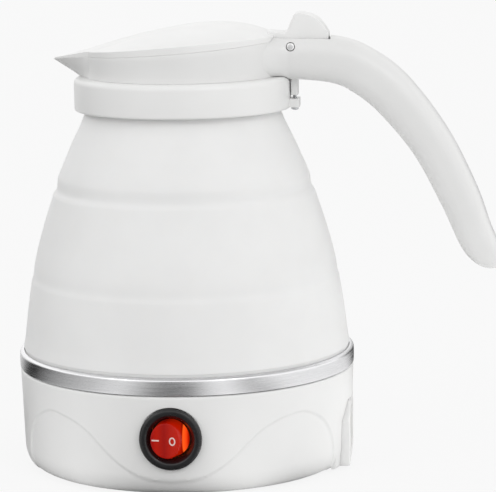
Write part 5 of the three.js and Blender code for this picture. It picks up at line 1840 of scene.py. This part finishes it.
def make_lid():
    def below_top(drop):
        return lambda share, x, y: max(seam, lid_top_at(share, x, y) - drop)

    def side(part):
        return lambda share, x, y: seam + (lid_edge_at(x, y) - seam) * part

    shares = [*np.linspace(0.012, 0.97, lid_rings), 0.985, 0.995]
    top = [lid_ring(share, lid_top_at) for share in shares]
    edge = [lid_ring(1.0, side(part)) for part in (0.94, 0.85, 0.15, 0.06)]
    edge += [lid_ring(0.998, side(0)), lid_ring(0.93, side(0))]
    under = [lid_ring(share, below_top(lid_wall)) for share in np.linspace(0.88, 0.012, 16)]
    lid = loft("lid_dome", [*top, *edge, *under])
    skirt_inner = lid_plate_radius - lid_skirt_wall
    skirt = on_rim(turned("skirt", [
        (skirt_inner, -lid_skirt_depth, 0.3), (lid_plate_radius, -lid_skirt_depth, 0.3),
        (lid_plate_radius, lid_edge), (skirt_inner, lid_edge),
    ]))
    bosses = posts_round(
        lid_boss_circle, lid_boss_angles, lid_boss_radius, gap - lid_plate_top, lid_boss_top,
    )
    bores = posts_round(
        lid_boss_circle, lid_boss_angles, lid_boss_bore_radius, -lid_plate_top - overrun,
        lid_boss_bore_top, 16,
    )
    tail_line = [(hinge_x + x * tab_height, hinge_height + z * tab_height) for x, z in tail_outline_shares]
    eased = [(x, z, tab_ease if x > hinge_x + tab_height else tail_ease) for x, z in tail_line]
    eased[0], eased[-1] = tail_line[0], tail_line[-1]
    tail = plate(rounded(eased), -tail_half_width, tail_half_width, "y")
    ease_edges(tail, 0.6)
    join(lid, skirt, *map(on_rim, bosses), tail)
    cut(lid, *map(on_rim, bores), across_hinge(hinge_bore_radius, handle_width))
    finish_piece(lid, white_plastic, "white_plastic", "lid", "lid_cover", degrees=30)


make_lid()

# Hinge pin: a bright steel pin with eased ends, pushed through the handle's flanks and the lid's tail.
def make_hinge_pin():
    half = handle_width / 2 - 0.2
    pin = turned("hinge_rod", [
        (0, -half), (hinge_pin_radius, -half, 0.5), (hinge_pin_radius, half, 0.5), (0, half),
    ], 48)
    lay_along_y(pin, hinge_x, 0, hinge_height)
    bright = plain_finish("stainless_pin", (0.9, 0.9, 0.9), 0.42, 1.0, grain=(0.15, 0.003), patch=2)
    finish_piece(pin, bright, "stainless", "top", "hinge_pin")


make_hinge_pin()

# Lid plate: a white moulded plate under the lid, with a shallow round groove below and three screw holes.
def make_lid_plate():
    low, top = -lid_plate_top - lid_plate_thickness, -lid_plate_top
    groove_start, groove_end, groove = 13.4, 15, low + 0.35
    plate_ring = turned("lid_plate", [
        (0, low), (groove_start, low), (groove_start + 0.3, groove, 0.2), (groove_end - 0.3, groove, 0.2),
        (groove_end, low), (lid_plate_radius, low, 0.5), (lid_plate_radius, top, 0.3), (0, top),
    ])
    cut(plate_ring, *posts_round(
        lid_boss_circle, lid_boss_angles, lid_plate_hole_radius, low - overrun, top + overrun, 24,
    ))
    finish_piece(on_rim(plate_ring), white_plastic, "white_plastic", "lid", "lid_inner_plate")


make_lid_plate()

# Lid seal: a silicone ring with a soft lip, held between the lid and its plate.
def make_lid_seal():
    low = gap - lid_plate_top
    inner, outer = lid_seal_radius - 3.2, lid_seal_radius
    seal = turned("seal_ring", [
        (inner, low, 0.4), (outer - 1.0, low, 0.3), (outer, low + 0.5, 0.3), (outer, low + 1.0, 0.3),
        (outer - 0.8, low + 1.3, 0.2), (outer - 0.4, low + 2.2, 0.3), (inner, low + 2.2, 0.4),
    ])
    finish_piece(on_rim(seal), silicone, "silicone", "lid", "lid_seal")


make_lid_seal()

# Lid screws: three zinc-plated screws through the plate into the lid's bosses.
def make_lid_screws():
    head_height = 1.4
    screws = screw(2.6, head_height, shaft_radius=1.2, length=8)
    shift(screws, z=-lid_plate_top - lid_plate_thickness - gap - head_height)
    screws.name = "lid_screws"
    set_round(screws, lid_boss_circle, lid_boss_angles)
    finish_piece(on_rim(screws), zinc, "zinc_steel", "lid", *numbered("lid_screw", 3))


make_lid_screws()
